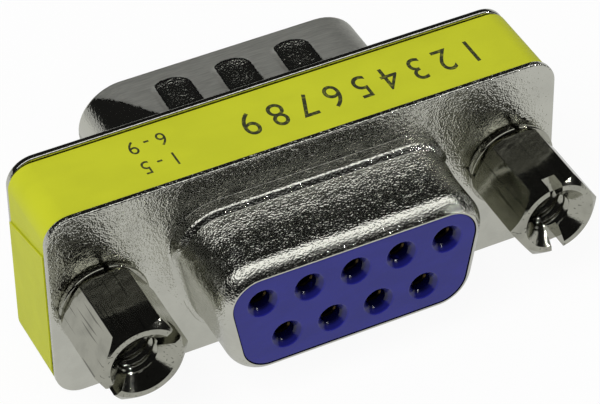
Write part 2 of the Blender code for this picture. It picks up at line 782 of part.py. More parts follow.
def carrier():
    """The empty that stands the adapter on its flanges, midway between its two mouths."""
    front = max(SOCKET_DEPTH, JACK_FOOT + JACK_LENGTH)
    empty = bpy.data.objects.new("adapter", None)
    empty.location = (0.0, (front - PIN_SHELL_END) / 2, FLANGE_HEIGHT / 2)
    bpy.context.scene.collection.objects.link(empty)


def make_model():
    """Clears the scene and builds the adapter."""
    for old in list(bpy.data.objects):
        bpy.data.objects.remove(old)
    carrier()
    nickel = material("nickel_plate", (0.62, 0.61, 0.57), 0.22, 1.0)
    blue = material("blue_moulding", (0.042, 0.040, 0.190), 0.42, 0.0)
    black = material("black_moulding", (0.012, 0.012, 0.012), 0.55, 0.0)
    yellow = material("label_film", (0.470, 0.490, 0.026), 0.38, 0.0)
    gold = material("gold_plate", (0.78, 0.56, 0.22), 0.25, 1.0)
    holes = bush_holes()
    socket_shell(nickel, holes)
    pin_shell(nickel, holes)
    socket_insulator(blue)
    pin_insulator(blue)
    contacts(gold)
    spacer(black, holes)
    label(yellow)
    hardware(nickel)


if __name__ == "__main__":
    make_model()
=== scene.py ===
"""Finish of a slim D-sub adapter: drawn nickel shells, blue mouldings, label and jack sockets.

The packed solids are loaded as a fixed frame, and every surface made here lies where its solid
lies: X along the long side, -Y out of the socket side, +Z up. Lengths are in metres.
"""

import math

import bmesh
import bpy
import numpy as np
from bpy.props import (FloatProperty, FloatVectorProperty, IntProperty, PointerProperty,
                       StringProperty)
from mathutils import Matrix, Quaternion, Vector


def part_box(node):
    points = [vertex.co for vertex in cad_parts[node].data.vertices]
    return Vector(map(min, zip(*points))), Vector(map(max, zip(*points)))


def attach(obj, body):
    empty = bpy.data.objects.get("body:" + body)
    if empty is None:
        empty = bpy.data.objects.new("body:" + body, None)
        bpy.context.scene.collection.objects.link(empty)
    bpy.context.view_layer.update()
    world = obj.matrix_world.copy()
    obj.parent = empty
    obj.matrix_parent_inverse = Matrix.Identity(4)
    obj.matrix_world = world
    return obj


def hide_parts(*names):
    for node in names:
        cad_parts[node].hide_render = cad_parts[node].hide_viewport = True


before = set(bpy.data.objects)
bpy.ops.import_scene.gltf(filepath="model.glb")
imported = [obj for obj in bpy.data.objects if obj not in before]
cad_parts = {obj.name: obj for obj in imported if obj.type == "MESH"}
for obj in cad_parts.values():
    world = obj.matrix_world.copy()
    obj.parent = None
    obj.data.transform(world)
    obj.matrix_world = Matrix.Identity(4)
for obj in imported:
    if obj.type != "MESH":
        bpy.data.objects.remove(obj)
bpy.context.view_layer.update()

bl_info = {
    "name": "D-sub adapter finish",
    "version": (1, 0, 0),
    "blender": (4, 5, 0),
    "location": "View3D > Sidebar > Adapter",
    "description": "Builds the shells, mouldings, label and hardware of a D-sub adapter",
    "category": "Object",
}

MM = 0.001
BODY = "root"
SIDES = ("left", "right")
SHARP_ANGLE = math.radians(32.0)
OVERRUN = 0.3 * MM  # how far a cutter reaches past what it cuts

SOCKET_LOW, SOCKET_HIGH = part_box("female_shell")
PIN_LOW, PIN_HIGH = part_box("male_shell")
FLANGE_WIDTH = SOCKET_HIGH.x - SOCKET_LOW.x
FLANGE_HEIGHT = SOCKET_HIGH.z - SOCKET_LOW.z
CENTER_Z = (SOCKET_HIGH.z + SOCKET_LOW.z) / 2
MIDDLE_Y = (SOCKET_HIGH.y + PIN_LOW.y) / 2
CONTACT_NODES = sorted(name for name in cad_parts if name.startswith("contact_"))


def length(name, millimetres, description):
    """A length property, stated here in millimetres."""
    return FloatProperty(name=name, description=description, default=millimetres * MM,
                         unit="LENGTH", precision=5)


def turn(name, degrees, description):
    """An angle property, stated here in degrees."""
    return FloatProperty(name=name, description=description, default=math.radians(degrees),
                         subtype="ANGLE")


def number(name, default, description, low=0.0):
    """A plain number property with its least value."""
    return FloatProperty(name=name, description=description, default=default, min=low)


def spot(name, millimetres, description):
    """A point or an offset, stated here in millimetres."""
    return FloatVectorProperty(name=name, description=description, size=3, unit="LENGTH",
                               default=tuple(part * MM for part in millimetres), precision=5,
                               subtype="TRANSLATION")


def colour(name, default, description):
    """A linear colour property."""
    return FloatVectorProperty(name=name, description=description, default=default, size=3,
                               min=0.0, max=1.0, subtype="COLOR")


class ShellSizes(bpy.types.PropertyGroup):
    """Sizes of the two drawn shells."""

    sheet: length("Sheet", 0.40, "Thickness of the drawn sheet")
    flange_corner: length("Flange corner", 1.60, "Corner radius of the flanges")
    flange_roll: length("Flange edge", 0.09, "Rounding of the flanges' cut edges")
    side_angle: turn("Side angle", 10.0, "Lean of the D's sides")
    socket_width: length("Socket D width", 16.87, "Socket side's D over its outside, at the top")
    socket_height: length("Socket D height", 7.54, "Socket side's D over its outside")
    socket_corner: length("Socket D corner", 2.35, "Corner radius of the socket side's D")
    lip_width: length("Lip width", 0.66, "How far the mouth is turned inwards")
    lip_shoulder: length("Lip shoulder", 0.58, "From the wall to the flat rim of the mouth")
    lip_rise: length("Lip rise", 0.39, "From the rim back to where the lip meets the wall")
    lip_radius: length("Lip radius", 1.28, "Radius at which the mouth turns inwards")
    lip_edge: length("Lip edge", 0.05, "Rounding between the lip and its flat rim")
    step_width: length("Step width", 0.46, "How far the step stands out from the D")
    step_height: length("Step height", 0.78, "How far the step stands off the flange")
    step_drop: length("Step drop", 0.30, "How much of the step its steep part takes")
    step_slope: length("Step slope", 0.27, "Depth that the step's steep part takes")
    step_taper: length("Step taper", 1.60, "Depth over which the rest of the step runs out")
    step_edge: length("Step edge", 0.24, "Radius along the step's edge")
    step_foot: length("Step foot", 0.04, "Radius in the step's foot")
    step_fade: turn("Step fade", 38.0, "Angle from the side over which the step grows")
    taper_radius: length("Taper radius", 6.0, "Radius where the taper runs into the D's wall")
    base_fillet: length("Base fillet", 0.03, "Radius where the step meets the flange")
    side_fillet: length("Side fillet", 0.50, "Radius at the leaning sides, which have no step")
    pin_width: length("Pin D width", 17.63, "Pin side's D inside, at the top")
    pin_height: length("Pin D height", 8.20, "Pin side's D inside")
    pin_corner: length("Pin D corner", 2.30, "Corner radius of the pin side's D, inside")
    pin_fillet: length("Pin D fillet", 0.40, "Radius where the pin side's D meets its flange")
    mouth_edge: length("Mouth edge", 0.12, "Rounding of the pin side's mouth")
    dimple_pitch: length("Dimple pitch", 3.70, "Distance between dimples")
    dimple_width: length("Dimple width", 2.45, "Width of a dimple")
    dimple_press: length("Dimple press", 0.28, "Depth of a dimple")
    dimple_ramp: length("Dimple ramp", 2.20, "Length over which a dimple grows deep")
    dimple_foot: length("Dimple foot", 0.90, "From the flange to a dimple")
    dimple_mouth: length("Dimple mouth", 1.00, "From a dimple to the mouth")
    dimple_edge: number("Dimple edge", 3.6, "Power of a dimple's section: higher is flatter", 1.0)


class MouldingSizes(bpy.types.PropertyGroup):
    """Sizes of the two insulators and their holes."""

    fit: length("Fit", 0.05, "Clearance round what a moulding holds")
    recess: length("Recess", 0.03, "How far the blue face lies inside the mouth")
    seat_width: length("Seat width", 1.40, "How far the mouldings' seat stands out from the D")
    funnel_radius: length("Funnel radius", 0.90, "Radius of a socket hole at the face")
    funnel_depth: length("Funnel depth", 0.36, "Depth of the funnel")
    entry_radius: length("Entry radius", 0.56, "Radius of a socket hole below the funnel")
    rim_width: length("Rim width", 0.07, "Width of the bevel round each hole")
    rim_depth: length("Rim depth", 0.03, "Depth of the bevel round each hole")
    plinth_bevel: length("Plinth bevel", 0.30, "Bevel round the pin side's plinth")
    face_edge: length("Face edge", 0.05, "Rounding of the blue face's outline")


class ContactSizes(bpy.types.PropertyGroup):
    """Sizes of the contacts."""

    pin_radius: length("Pin radius", 0.50, "Radius of a pin")
    pin_tip: length("Pin tip", 0.45, "Length of a pin's rounded tip")
    barrel_radius: length("Barrel radius", 0.72, "Outer radius of a socket barrel")
    bore_radius: length("Bore radius", 0.53, "Inner radius of a socket barrel")
    barrel_bevel: length("Barrel bevel", 0.10, "Lead-in at a barrel's mouth")
    barrel_length: length("Barrel length", 4.60, "Depth of a barrel's bore")
    collar_radius: length("Collar radius", 0.86, "Radius of the collar in the middle")
    collar_length: length("Collar length", 1.00, "Length of the collar")
    slit_width: length("Slit width", 0.16, "Width of the slit across a barrel")
    slit_length: length("Slit length", 2.60, "Length of the slit")


class LabelSizes(bpy.types.PropertyGroup):
    """Sizes of the label and its numbers."""

    thickness: length("Thickness", 0.08, "Thickness of the film")
    sink: length("Sink", 0.15, "How far the label lies inside the flanges' long edges")
    reach: length("Reach", 0.07, "How much further out it lies at the flanges' ends")
    margin: length("Margin", 0.08, "Gap between the label and each flange")
    layer_gap: length("Layer gap", 0.02, "Gap under the overlapping end")
    skew: length("Skew", 0.15, "How far the overlapping end wanders sideways")
    start_rise: length("Start rise", 1.45, "Where the film starts, above the lower corner")
    end_drop: length("End drop", 1.00, "Where the film ends, below the upper corner")
    end_slant: length("End slant", 1.15, "How askew the film's end is cut")
    numbers: StringProperty(name="Numbers", default="1 2 3 4 5 6 7 8 9",
                            description="Plain numbers along the top")
    upper_numbers: StringProperty(name="Upper numbers", default="1 - 5",
                                  description="Plain numbers in the small upper line")
    lower_numbers: StringProperty(name="Lower numbers", default="6 - 9",
                                  description="Plain numbers in the small lower line")
    narrow: number("Narrowing", 0.80, "Width of the numbers beside the font's own", 0.1)
    number_size: length("Number size", 2.75, "Height of the large numbers' line")
    small_size: length("Small size", 1.55, "Height of the small numbers' line")
    number_start: length("Numbers' start", 12.2, "Where the large numbers start, to the right")
    small_start: length("Small start", -6.5, "Where both small lines start, to the right")
    number_line: length("Numbers' line", 0.90, "The large numbers' foot, behind the middle")
    upper_line: length("Upper line", -0.25, "The upper small line's foot, behind the middle")
    lower_line: length("Lower line", 1.55, "The lower small line's foot, behind the middle")
    ink_lift: length("Ink lift", 0.004, "How far the print stands on the film")


class HardwareSizes(bpy.types.PropertyGroup):
    """Sizes of the clinch bushes and jack sockets."""

    bush_radius: length("Bush radius", 1.95, "Radius of a bush's body")
    bush_bore: length("Bush bore", 1.50, "Radius of a bush's bore")
    head_radius: length("Head radius", 2.60, "Radius of a bush's head")
    head_thickness: length("Head thickness", 0.50, "Thickness of a bush's head")
    head_bevel: length("Head bevel", 0.15, "Rounding of a bush's head")
    petal_radius: length("Petal radius", 2.68, "Radius of the flared petals")
    petal_curl: length("Petal curl", 0.09, "Rounding of the petals' rim")
    petal_lean: length("Petal lean", 0.18, "How much narrower the petals are at the flange")
    petal_gap: length("Petal gap", 0.04, "Gap between the petals and the flange")
    throat_width: length("Throat width", 0.30, "Width of the bevel inside the petals")
    throat_depth: length("Throat depth", 0.25, "Depth of the bevel inside the petals")
    petal_turn: turn("Petal turn", -5.0, "Direction of the first notch between petals")
    notch_root: length("Notch root", 2.05, "Radius at which a notch starts")
    notch_mouth: length("Notch mouth", 0.36, "Width of a notch at the petals' rim")
    across_flats: length("Across flats", 4.76, "Width of the hexagon across its flats")
    hex_edge: length("Hexagon edge", 0.14, "Rounding of the hexagon's edges")
    end_radius: length("End radius", 2.28, "Radius of the flat ring at the end")
    end_chamfer: length("End chamfer", 0.42, "Depth of the chamfer at the end")
    foot_radius: length("Foot radius", 2.30, "Radius of the foot")
    foot_chamfer: length("Foot chamfer", 0.30, "Depth of the chamfer at the foot")
    sink_radius: length("Sink radius", 1.95, "Radius of the countersink at the end")
    sink_depth: length("Sink depth", 0.75, "Depth of the countersink")
    thread_minor: length("Thread minor", 1.12, "Inner radius of the tapped thread")
    thread_major: length("Thread major", 1.40, "Outer radius of the tapped thread")
    thread_pitch: length("Thread pitch", 0.635, "Pitch of the thread, 40 turns to the inch")
    floor: length("Bore floor", 0.70, "Metal left under the bore")
    slot_width: length("Slot width", 0.80, "Width of the driver slot")
    slot_depth: length("Slot depth", 0.95, "Depth of the driver slot")
    stud_radius: length("Stud radius", 1.36, "Outer radius of the stud's thread")
    stud_length: length("Stud length", 5.20, "Length of the stud")
    left_turn: turn("Left turn", 33.0, "Direction of the left slot")
    right_turn: turn("Right turn", 94.0, "Direction of the right slot")


class Finishes(bpy.types.PropertyGroup):
    """Colours and grain of the finishes."""

    nickel: colour("Nickel", (0.634, 0.636, 0.572), "Bright nickel plate")
    turned: colour("Turned nickel", (0.448, 0.448, 0.386), "Nickel plate on the turned pieces")
    satin: colour("Satin nickel", (0.640, 0.642, 0.590), "Nickel rubbed dull by use")
    gold: colour("Gold", (0.800, 0.560, 0.210), "Gold plate on the contacts")
    blue: colour("Blue", (0.012, 0.013, 0.188), "Blue moulding")
    black: colour("Black", (0.012, 0.012, 0.012), "Black moulding")
    yellow: colour("Yellow", (0.500, 0.530, 0.018), "Label film")
    ink: colour("Ink", (0.030, 0.034, 0.016), "Print on the label")
    floor: colour("Floor", (0.820, 0.820, 0.820), "Pale table top")
    peel_size: length("Peel size", 0.088, "Size of the pebbles in the plating")
    peel_height: length("Peel height", 0.031, "Height of the pebbles")
    blue_gloss: number("Blue gloss", 0.11, "Least roughness of the blue moulding")
    black_gloss: number("Black gloss", 0.50, "Least roughness of the black moulding")


class Studio(bpy.types.PropertyGroup):
    """The camera, the light and the table."""

    azimuth: turn("Azimuth", -25.861, "Camera's direction round the adapter")
    elevation: turn("Elevation", 41.311, "Camera's height above the horizon")
    roll: turn("Roll", -0.959, "Camera's roll")
    distance: length("Distance", 179.924, "From the camera to the point it looks at")
    aim: spot("Aim", (0.0174, -1.5788, 7.4731), "Point that the camera looks at")
    lens: number("Lens", 196.24, "Focal length in millimetres on a 36 mm wide sensor", 1.0)
    image_width: IntProperty(name="Image width", default=600, description="Pixels across")
    axis_right: number("Axis right", -1.234, "Pixels from the middle to the axis, right", -300.0)
    axis_down: number("Axis down", -4.145, "Pixels from the middle to the axis, down", -300.0)
    key_size: length("Key size", 240.0, "Width of the main lamp, which mirrors don't show")
    key_power: number("Key power", 1.05, "Watts of the main lamp")
    key_place: spot("Key place", (-200.0, -140.0, 316.0), "From the aim to the main lamp")
    glint_size: length("Glint size", 12.0, "Width of the small lamp that makes the glints")
    glint_power: number("Glint power", 0.06, "Watts of the small lamp")
    glint_place: spot("Glint place", (219.9, -169.2, 123.9), "From the aim to the small lamp")
    overhead: number("Overhead", 1.40, "Brightness of the soft light overhead")
    skirt: number("Skirt", 0.24, "Brightness of the cloth that hangs in front of that light")
    surround: number("Surround", 0.012, "Brightness of the dim room round the table")
    fill: number("Fill", 0.52, "Light that reaches dull surfaces from all round")
    table: number("Table", 0.64, "Brightness of the table top as metal shows it")
    table_width: length("Table width", 8000.0, "Width of the table top")


# Surfaces as arrays

class Surface:
    """Points and faces of one piece, gathered grid by grid, with a mask value at each point."""

    def __init__(self):
        self.points = []
        self.masks = []
        self.faces = []
        self.count = 0

    def grid(self, points, wrap_rows=False, wrap_columns=True, mask=0.0):
        """Quads between the neighbours of a (rows, columns, 3) array, and its point numbers."""
        rows, columns = points.shape[:2]
        index = self.count + np.arange(rows * columns).reshape(rows, columns)
        self.points.append(points.reshape(-1, 3))
        self.masks.append(np.broadcast_to(mask, (rows, columns)).reshape(-1))
        self.count += rows * columns
        if wrap_rows:
            index = np.vstack([index, index[:1]])
        if wrap_columns:
            index = np.hstack([index, index[:, :1]])
        quads = np.stack([index[:-1, :-1], index[:-1, 1:], index[1:, 1:], index[1:, :-1]], -1)
        self.faces += quads.reshape(-1, 4).tolist()
        return index

    def capped(self, points):
        """A grid wrapped along its columns whose first and last rows are closed flat."""
        index = self.grid(points)
        self.faces += [index[0, :-1].tolist(), index[-1, :-1].tolist()]

    def mesh(self, name):
        """A Blender mesh of all the grids, its faces turned outwards."""
        mesh = bpy.data.meshes.new(name)
        mesh.from_pydata(np.concatenate(self.points), [], self.faces)
        mask = mesh.attributes.new("worn", "FLOAT", "POINT")
        mask.data.foreach_set("value", np.concatenate(self.masks).astype(np.float32))
        work = bmesh.new()
        work.from_mesh(mesh)
        bmesh.ops.recalc_face_normals(work, faces=work.faces)
        work.to_mesh(mesh)
        work.free()
        return mesh


def closed_mesh(name, *grids):
    """A mesh of grids, each wrapped along its columns and closed flat at both ends."""
    surface = Surface()
    for points in grids:
        surface.capped(points)
    return surface.mesh(name)


def rounded_path(corners, radii, steps):
    """A cornered line whose corners are arcs.

    Each arc starts where the straight before it is tangent, radius times the tangent of half
    the turn before the corner, and swings about a centre to the side that the line turns to.
    """
    corners = np.asarray(corners, float)
    pieces = [corners[:1]]
    for before, corner, after, radius in zip(corners, corners[1:], corners[2:], radii):
        into = (corner - before) / np.linalg.norm(corner - before)
        out = (after - corner) / np.linalg.norm(after - corner)
        swing = math.atan2(into[0] * out[1] - into[1] * out[0], into @ out)
        if radius <= 0.0 or abs(swing) < 1e-6:
            pieces.append(corner[None])
            continue
        start = corner - into * radius * math.tan(abs(swing) / 2)
        side = math.copysign(1.0, swing) * np.array([-into[1], into[0]])
        angle = np.linspace(0.0, abs(swing), steps + 1)[:, None]
        pieces.append(start + radius * (np.sin(angle) * into + (1 - np.cos(angle)) * side))
    pieces.append(corners[-1:])
    return np.concatenate(pieces)


def parallel(corners, radii, distance):
    """The same cornered line set off to its left, with its corner radii to match.

    A corner moves along the sum of the two normals beside it, and the radius of a left turn
    shrinks by the distance while that of a right turn grows by it.
    """
    corners = np.asarray(corners, float)
    ways = np.diff(corners, axis=0)
    ways /= np.linalg.norm(ways, axis=1, keepdims=True)
    lefts = np.stack([-ways[:, 1], ways[:, 0]], -1)
    before, after = lefts[:-1], lefts[1:]
    scale = distance / (1 + np.sum(before * after, axis=1, keepdims=True))
    inner = corners[1:-1] + (before + after) * scale
    turns = ways[:-1, 0] * ways[1:, 1] - ways[:-1, 1] * ways[1:, 0]
    new_radii = np.maximum(np.asarray(radii) - np.sign(turns) * distance, 0.0)
    ends = corners[:1] + lefts[:1] * distance, corners[-1:] + lefts[-1:] * distance
    return np.concatenate([ends[0], inner, ends[1]]), new_radii


def trimmed(path, offset):
    """The line from the place where it first comes out to an offset."""
    i = int(np.argmax(path[:, 0] > offset))
    share = (offset - path[i - 1, 0]) / (path[i, 0] - path[i - 1, 0])
    return np.vstack([path[i - 1] + (path[i] - path[i - 1]) * share, path[i:]])


def smooth(share):
    """A rise from 0 to 1 that starts and ends level: three squares less two cubes."""
    share = np.clip(share, 0, 1)
    return share ** 2 * (3 - 2 * share)


def refined(path, spacing):
    """The same line with points added so that none lie further apart than the spacing."""
    gaps = np.linalg.norm(np.diff(path, axis=0), axis=1)
    counts = np.maximum(np.ceil(gaps / spacing), 1).astype(int)
    steps = [i + np.arange(count) / count for i, count in enumerate(counts)]
    where = np.concatenate([*steps, [len(path) - 1]])
    numbers = np.arange(len(path))
    return np.stack([np.interp(where, numbers, path[:, k]) for k in range(2)], -1)


class Outline:
    """A closed outline with four round corners, given by the corners' centres.

    Column by column it holds a centre and an outward direction, so that the outline at any
    radius is centre plus radius times direction, parallel to every other one.
    """

    def __init__(self, centers, lean, steps, flat_steps=0):
        right_angle = math.pi / 2
        starts = np.arange(4) * right_angle + np.array([-lean, 0, lean, 0])
        ends = np.arange(1, 5) * right_angle + np.array([0, lean, 0, -lean])
        centers = np.asarray(centers, float)
        spots, ways = [], []
        for i, extra in enumerate((flat_steps, 0, flat_steps, 0)):
            angle = np.linspace(starts[i], ends[i], steps + 1)
            way = np.stack([np.cos(angle), np.sin(angle)], -1)
            along = np.linspace(0, 1, extra + 2)[1:-1, None]
            spots += [np.repeat(centers[i][None], steps + 1, 0),
                      centers[i] * (1 - along) + centers[(i + 1) % 4] * along]
            ways += [way, np.repeat(way[-1:], extra, 0)]
        self.spots = np.concatenate(spots)
        self.ways = np.concatenate(ways)

    def carried(self, radii, depths):
        """The outline at a row of radii, each put at its depth along Y: a grid of points."""
        radii = np.asarray(radii, float)
        if radii.ndim == 1:
            radii = radii[:, None]
        flat = self.spots[None] + radii[..., None] * self.ways[None]
        y = np.broadcast_to(np.asarray(depths)[:, None], flat.shape[:2])
        return np.stack([flat[..., 0], y, CENTER_Z + flat[..., 1]], -1)


def d_outline(width, height, corner, lean, steps, flat_steps=0):
    """A D: flat above and below, with sides that lean, its width taken at the top line."""
    middle = width / 2 - height / 2 * math.tan(lean)
    z = height / 2 - corner

    def center(at):
        return middle + at * math.tan(lean) - corner / math.cos(lean)

    corners = [(center(z), z), (-center(z), z), (-center(-z), -z), (center(-z), -z)]
    return Outline(corners, lean, steps, flat_steps)


def rectangle_outline(width, height, corner, steps, flat_steps=0):
    """A rectangle with round corners."""
    x, z = width / 2 - corner, height / 2 - corner
    return Outline([(x, z), (-x, z), (-x, -z), (x, -z)], 0.0, steps, flat_steps)


def socket_d(shells, steps):
    """The socket side's D, over its outside."""
    return d_outline(shells.socket_width, shells.socket_height, shells.socket_corner,
                     shells.side_angle, steps)


def pin_d(shells, steps, flat_steps=0):
    """The pin side's D, over its inside."""
    return d_outline(shells.pin_width, shells.pin_height, shells.pin_corner, shells.side_angle,
                     steps, flat_steps)


def rings(depths, radius_of, sides, center):
    """A grid round a line along Y whose radius depends on depth and angle."""
    angle = np.linspace(0, 2 * math.pi, sides, endpoint=False)[None]
    depths = np.asarray(depths)[:, None]
    radius = radius_of(depths, angle)
    x = center[0] + radius * np.cos(angle)
    z = center[1] + radius * np.sin(angle)
    return np.stack([x, np.broadcast_to(depths, x.shape), z], -1)


def turned(path, sides, center):
    """A surface of revolution about a line along Y: each (radius, depth) swept in a circle."""
    radii, depths = np.asarray(path).T
    return rings(depths, lambda depth, angle: radii[:, None], sides, center)


def prism(x, z, depths):
    """A flat outline put at each depth along Y: a grid of points."""
    return np.stack([np.stack([x, np.full(len(x), y), z], -1) for y in depths])


def box_mesh(low, high):
    """A box between two corners, as two square rows joined and capped."""
    x = np.array([low[0], high[0], high[0], low[0]])
    z = np.array([low[2], low[2], high[2], high[2]])
    return closed_mesh("box", prism(x, z, (low[1], high[1])))


def moved(mesh, change):
    """The mesh with its points, as columns x, y and z, put through a change."""
    points = np.empty(len(mesh.vertices) * 3)
    mesh.vertices.foreach_get("co", points)
    points = np.stack(change(*points.reshape(-1, 3).T), -1)
    mesh.vertices.foreach_set("co", points.ravel())
    mesh.update()
    return mesh


def turned_about_y(mesh, angle, center):
    """The mesh turned about a line along Y through a centre (x, z): a rotation in that plane."""
    def change(x, y, z):
        dx, dz = x - center[0], z - center[1]
        return (center[0] + dx * math.cos(angle) - dz * math.sin(angle), y,
                center[1] + dx * math.sin(angle) + dz * math.cos(angle))

    return moved(mesh, change)


# From mesh to piece

def placed(name, data):
    """A new object in the scene."""
    made = bpy.data.objects.new(name, data)
    bpy.context.scene.collection.objects.link(made)
    return made


def evaluated(holder):
    """What an object shows, as a mesh that takes the object's place."""
    bpy.context.view_layer.update()
    seen = holder.evaluated_get(bpy.context.evaluated_depsgraph_get())
    mesh = bpy.data.meshes.new_from_object(seen)
    bpy.data.objects.remove(holder)
    return mesh


def carved(mesh, *steps):
    """The mesh after exact Booleans, each step an operation and the mesh that it takes."""
    blank = placed("blank", mesh)
    tools = [placed("tool", other) for _, other in steps]
    for (operation, _), tool in zip(steps, tools):
        modifier = blank.modifiers.new(operation, "BOOLEAN")
        modifier.operation = operation
        modifier.solver = "EXACT"
        modifier.object = tool
    result = evaluated(blank)
    for tool in tools:
        bpy.data.objects.remove(tool)
    return result


def dress(name, mesh, finish, slot, *nodes):
    """Makes a mesh a finished piece that stands for CAD nodes."""
    mesh.name = name
    mesh.materials.clear()
    mesh.materials.append(finish)
    mesh.polygons.foreach_set("material_index", np.zeros(len(mesh.polygons), np.int32))
    mesh.shade_smooth()
    mesh.set_sharp_from_angle(angle=SHARP_ANGLE)
    piece = placed(name, mesh)
    even = piece.modifiers.new("even shading", "WEIGHTED_NORMAL")
    even.keep_sharp = True
    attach(piece, BODY)
    if nodes:
        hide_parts(*nodes)


def middle_of(node):
    """A CAD node's middle, across the adapter, as (x, z)."""
    low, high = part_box(node)
    return ((low.x + high.x) / 2, (low.z + high.z) / 2)


# Shader maths

class Value:
    """A node's output that takes part in Python sums: each operator adds a Math node."""

    def __init__(self, graph, socket):
        self.graph = graph
        self.socket = socket

    def sum(self, operation, first, second=0.0):
        """One Math node."""
        return self.graph.node("ShaderNodeMath", {"operation": operation}, {0: first, 1: second})

    def __add__(self, other):
        return self.sum("ADD", self, other)

    def __sub__(self, other):
        return self.sum("SUBTRACT", self, other)

    def __rsub__(self, other):
        return self.sum("SUBTRACT", other, self)

    def __mul__(self, other):
        return self.sum("MULTIPLY", self, other)

    def __truediv__(self, other):
        return self.sum("DIVIDE", self, other)

    def __abs__(self):
        return self.sum("ABSOLUTE", self)

    __radd__ = __add__
    __rmul__ = __mul__

    def above(self, low, high):
        """0 below the low value, 1 above the high one and a smooth rise between."""
        return self.graph.node("ShaderNodeMapRange", {"interpolation_type": "SMOOTHSTEP"},
                               {"Value": self, "From Min": low, "From Max": high})


class Graph:
    """The nodes of one material or of the world."""

    def __init__(self, tree):
        self.tree = tree
        tree.nodes.clear()

    def node(self, kind, settings=None, inputs=None, output=0):
        """Adds a node, with its settings first and then its sockets' values or links."""
        made = self.tree.nodes.new(kind)
        for name, value in (settings or {}).items():
            setattr(made, name, value)
        for key, value in (inputs or {}).items():
            if isinstance(value, Value):
                self.tree.links.new(value.socket, made.inputs[key])
            else:
                made.inputs[key].default_value = value
        return Value(self, made.outputs[output]) if len(made.outputs) else None

    def place(self, stretch=(1.0, 1.0, 1.0)):
        """Object coordinates, stretched along X, Y and Z."""
        spot = self.node("ShaderNodeTexCoord", output="Object")
        return self.node("ShaderNodeMapping", {}, {"Vector": spot, "Scale": stretch})

    def noise(self, place, size, detail=2.0, roughness=0.5):
        """Fractal noise whose blobs have about this size."""
        return self.node("ShaderNodeTexNoise", {},
                         {"Vector": place, "Scale": 1.0 / size, "Detail": detail,
                          "Roughness": roughness})

    def cells(self, place, size):
        """Distance to the nearest of scattered points about this far apart."""
        return self.node("ShaderNodeTexVoronoi", {}, {"Vector": place, "Scale": 1.0 / size})

    def axes(self, vector):
        """A vector's X, Y and Z."""
        split = self.node("ShaderNodeSeparateXYZ", {}, {0: vector})
        return [Value(self, output) for output in split.socket.node.outputs]

    def mask(self, name):
        """A number stored on the mesh."""
        return self.node("ShaderNodeAttribute", {"attribute_name": name}, output="Fac")

    def blend(self, amount, first, second):
        """A colour between two colours."""
        first, second = [(*c, 1.0) if not isinstance(c, Value) else c for c in (first, second)]
        return self.node("ShaderNodeMix", {"data_type": "RGBA"},
                         {0: amount, 6: first, 7: second}, output=2)

    def bump(self, height, distance):
        """A normal bent by a height of 0 to 1 that stands for this distance."""
        return self.node("ShaderNodeBump", {}, {"Height": height, "Distance": distance})

    def principled(self, inputs):
        """The shader and the material's output."""
        shader = self.node("ShaderNodeBsdfPrincipled", {}, inputs)
        self.node("ShaderNodeOutputMaterial", {}, {"Surface": shader})


def material(name):
    """An empty node material and its graph."""
    made = bpy.data.materials.new(name)
    made.use_nodes = True
    return made, Graph(made.node_tree)


def tinted(base, factor):
    """A colour made lighter or darker."""
    return tuple(min(channel * factor, 1.0) for channel in base)


def pebbles(graph, look):
    """The relief of plated sheet: soft blobs with finer grains on them."""
    place = graph.place()
    blobs = graph.noise(place, look.peel_size * 1.6, detail=1.0)
    return blobs + graph.cells(place, look.peel_size * 1.1) * 0.45


def pebbled_nickel(look):
    """Bright nickel over drawn sheet: fine pebbles, a slow waviness and faint cloudy tone."""
    made, graph = material("pebbled_nickel")
    place = graph.place()
    waves = graph.noise(place, look.peel_size * 9.0, detail=1.0)
    cloud = graph.noise(place, look.peel_size * 14.0, detail=3.0)
    graph.principled({
        "Base Color": graph.blend(cloud.above(0.35, 0.7), look.nickel, tinted(look.nickel, 0.93)),
        "Metallic": 1.0,
        "Roughness": 0.08 + cloud * 0.06,
        "Normal": graph.bump(pebbles(graph, look) + waves * 1.6, look.peel_height),
    })
    return made


def rubbed_nickel(look):
    """The pin side's shell: rubbed dull along its length, and still bright where it wasn't.

    The mesh's mask says how worn a place is. Worn metal is rough, paler and finely streaked,
    and the rest keeps the pebbled bright plate.
    """
    made, graph = material("rubbed_nickel")
    edge = graph.noise(graph.place(), 0.16 * MM, detail=3.0, roughness=0.7)
    worn = (graph.mask("worn") + (edge - 0.5) * 0.9).above(0.30, 0.70)
    streaks = graph.noise(graph.place((1.0, 14.0, 14.0)), 1.1 * MM, detail=4.0, roughness=0.6)
    smears = graph.noise(graph.place((1.0, 4.0, 4.0)), 1.6 * MM, detail=2.0)
    dull = graph.blend(streaks.above(0.3, 0.7) * 0.6 + smears.above(0.35, 0.7) * 0.4,
                       tinted(look.satin, 1.12), tinted(look.satin, 0.82))
    height = pebbles(graph, look) * (0.37 - worn * 0.29) + streaks * worn * 0.35
    graph.principled({
        "Base Color": graph.blend(worn, look.nickel, dull),
        "Metallic": 1.0,
        "Roughness": 0.10 + worn * (0.34 + streaks * 0.14),
        "Normal": graph.bump(height, look.peel_height),
    })
    return made


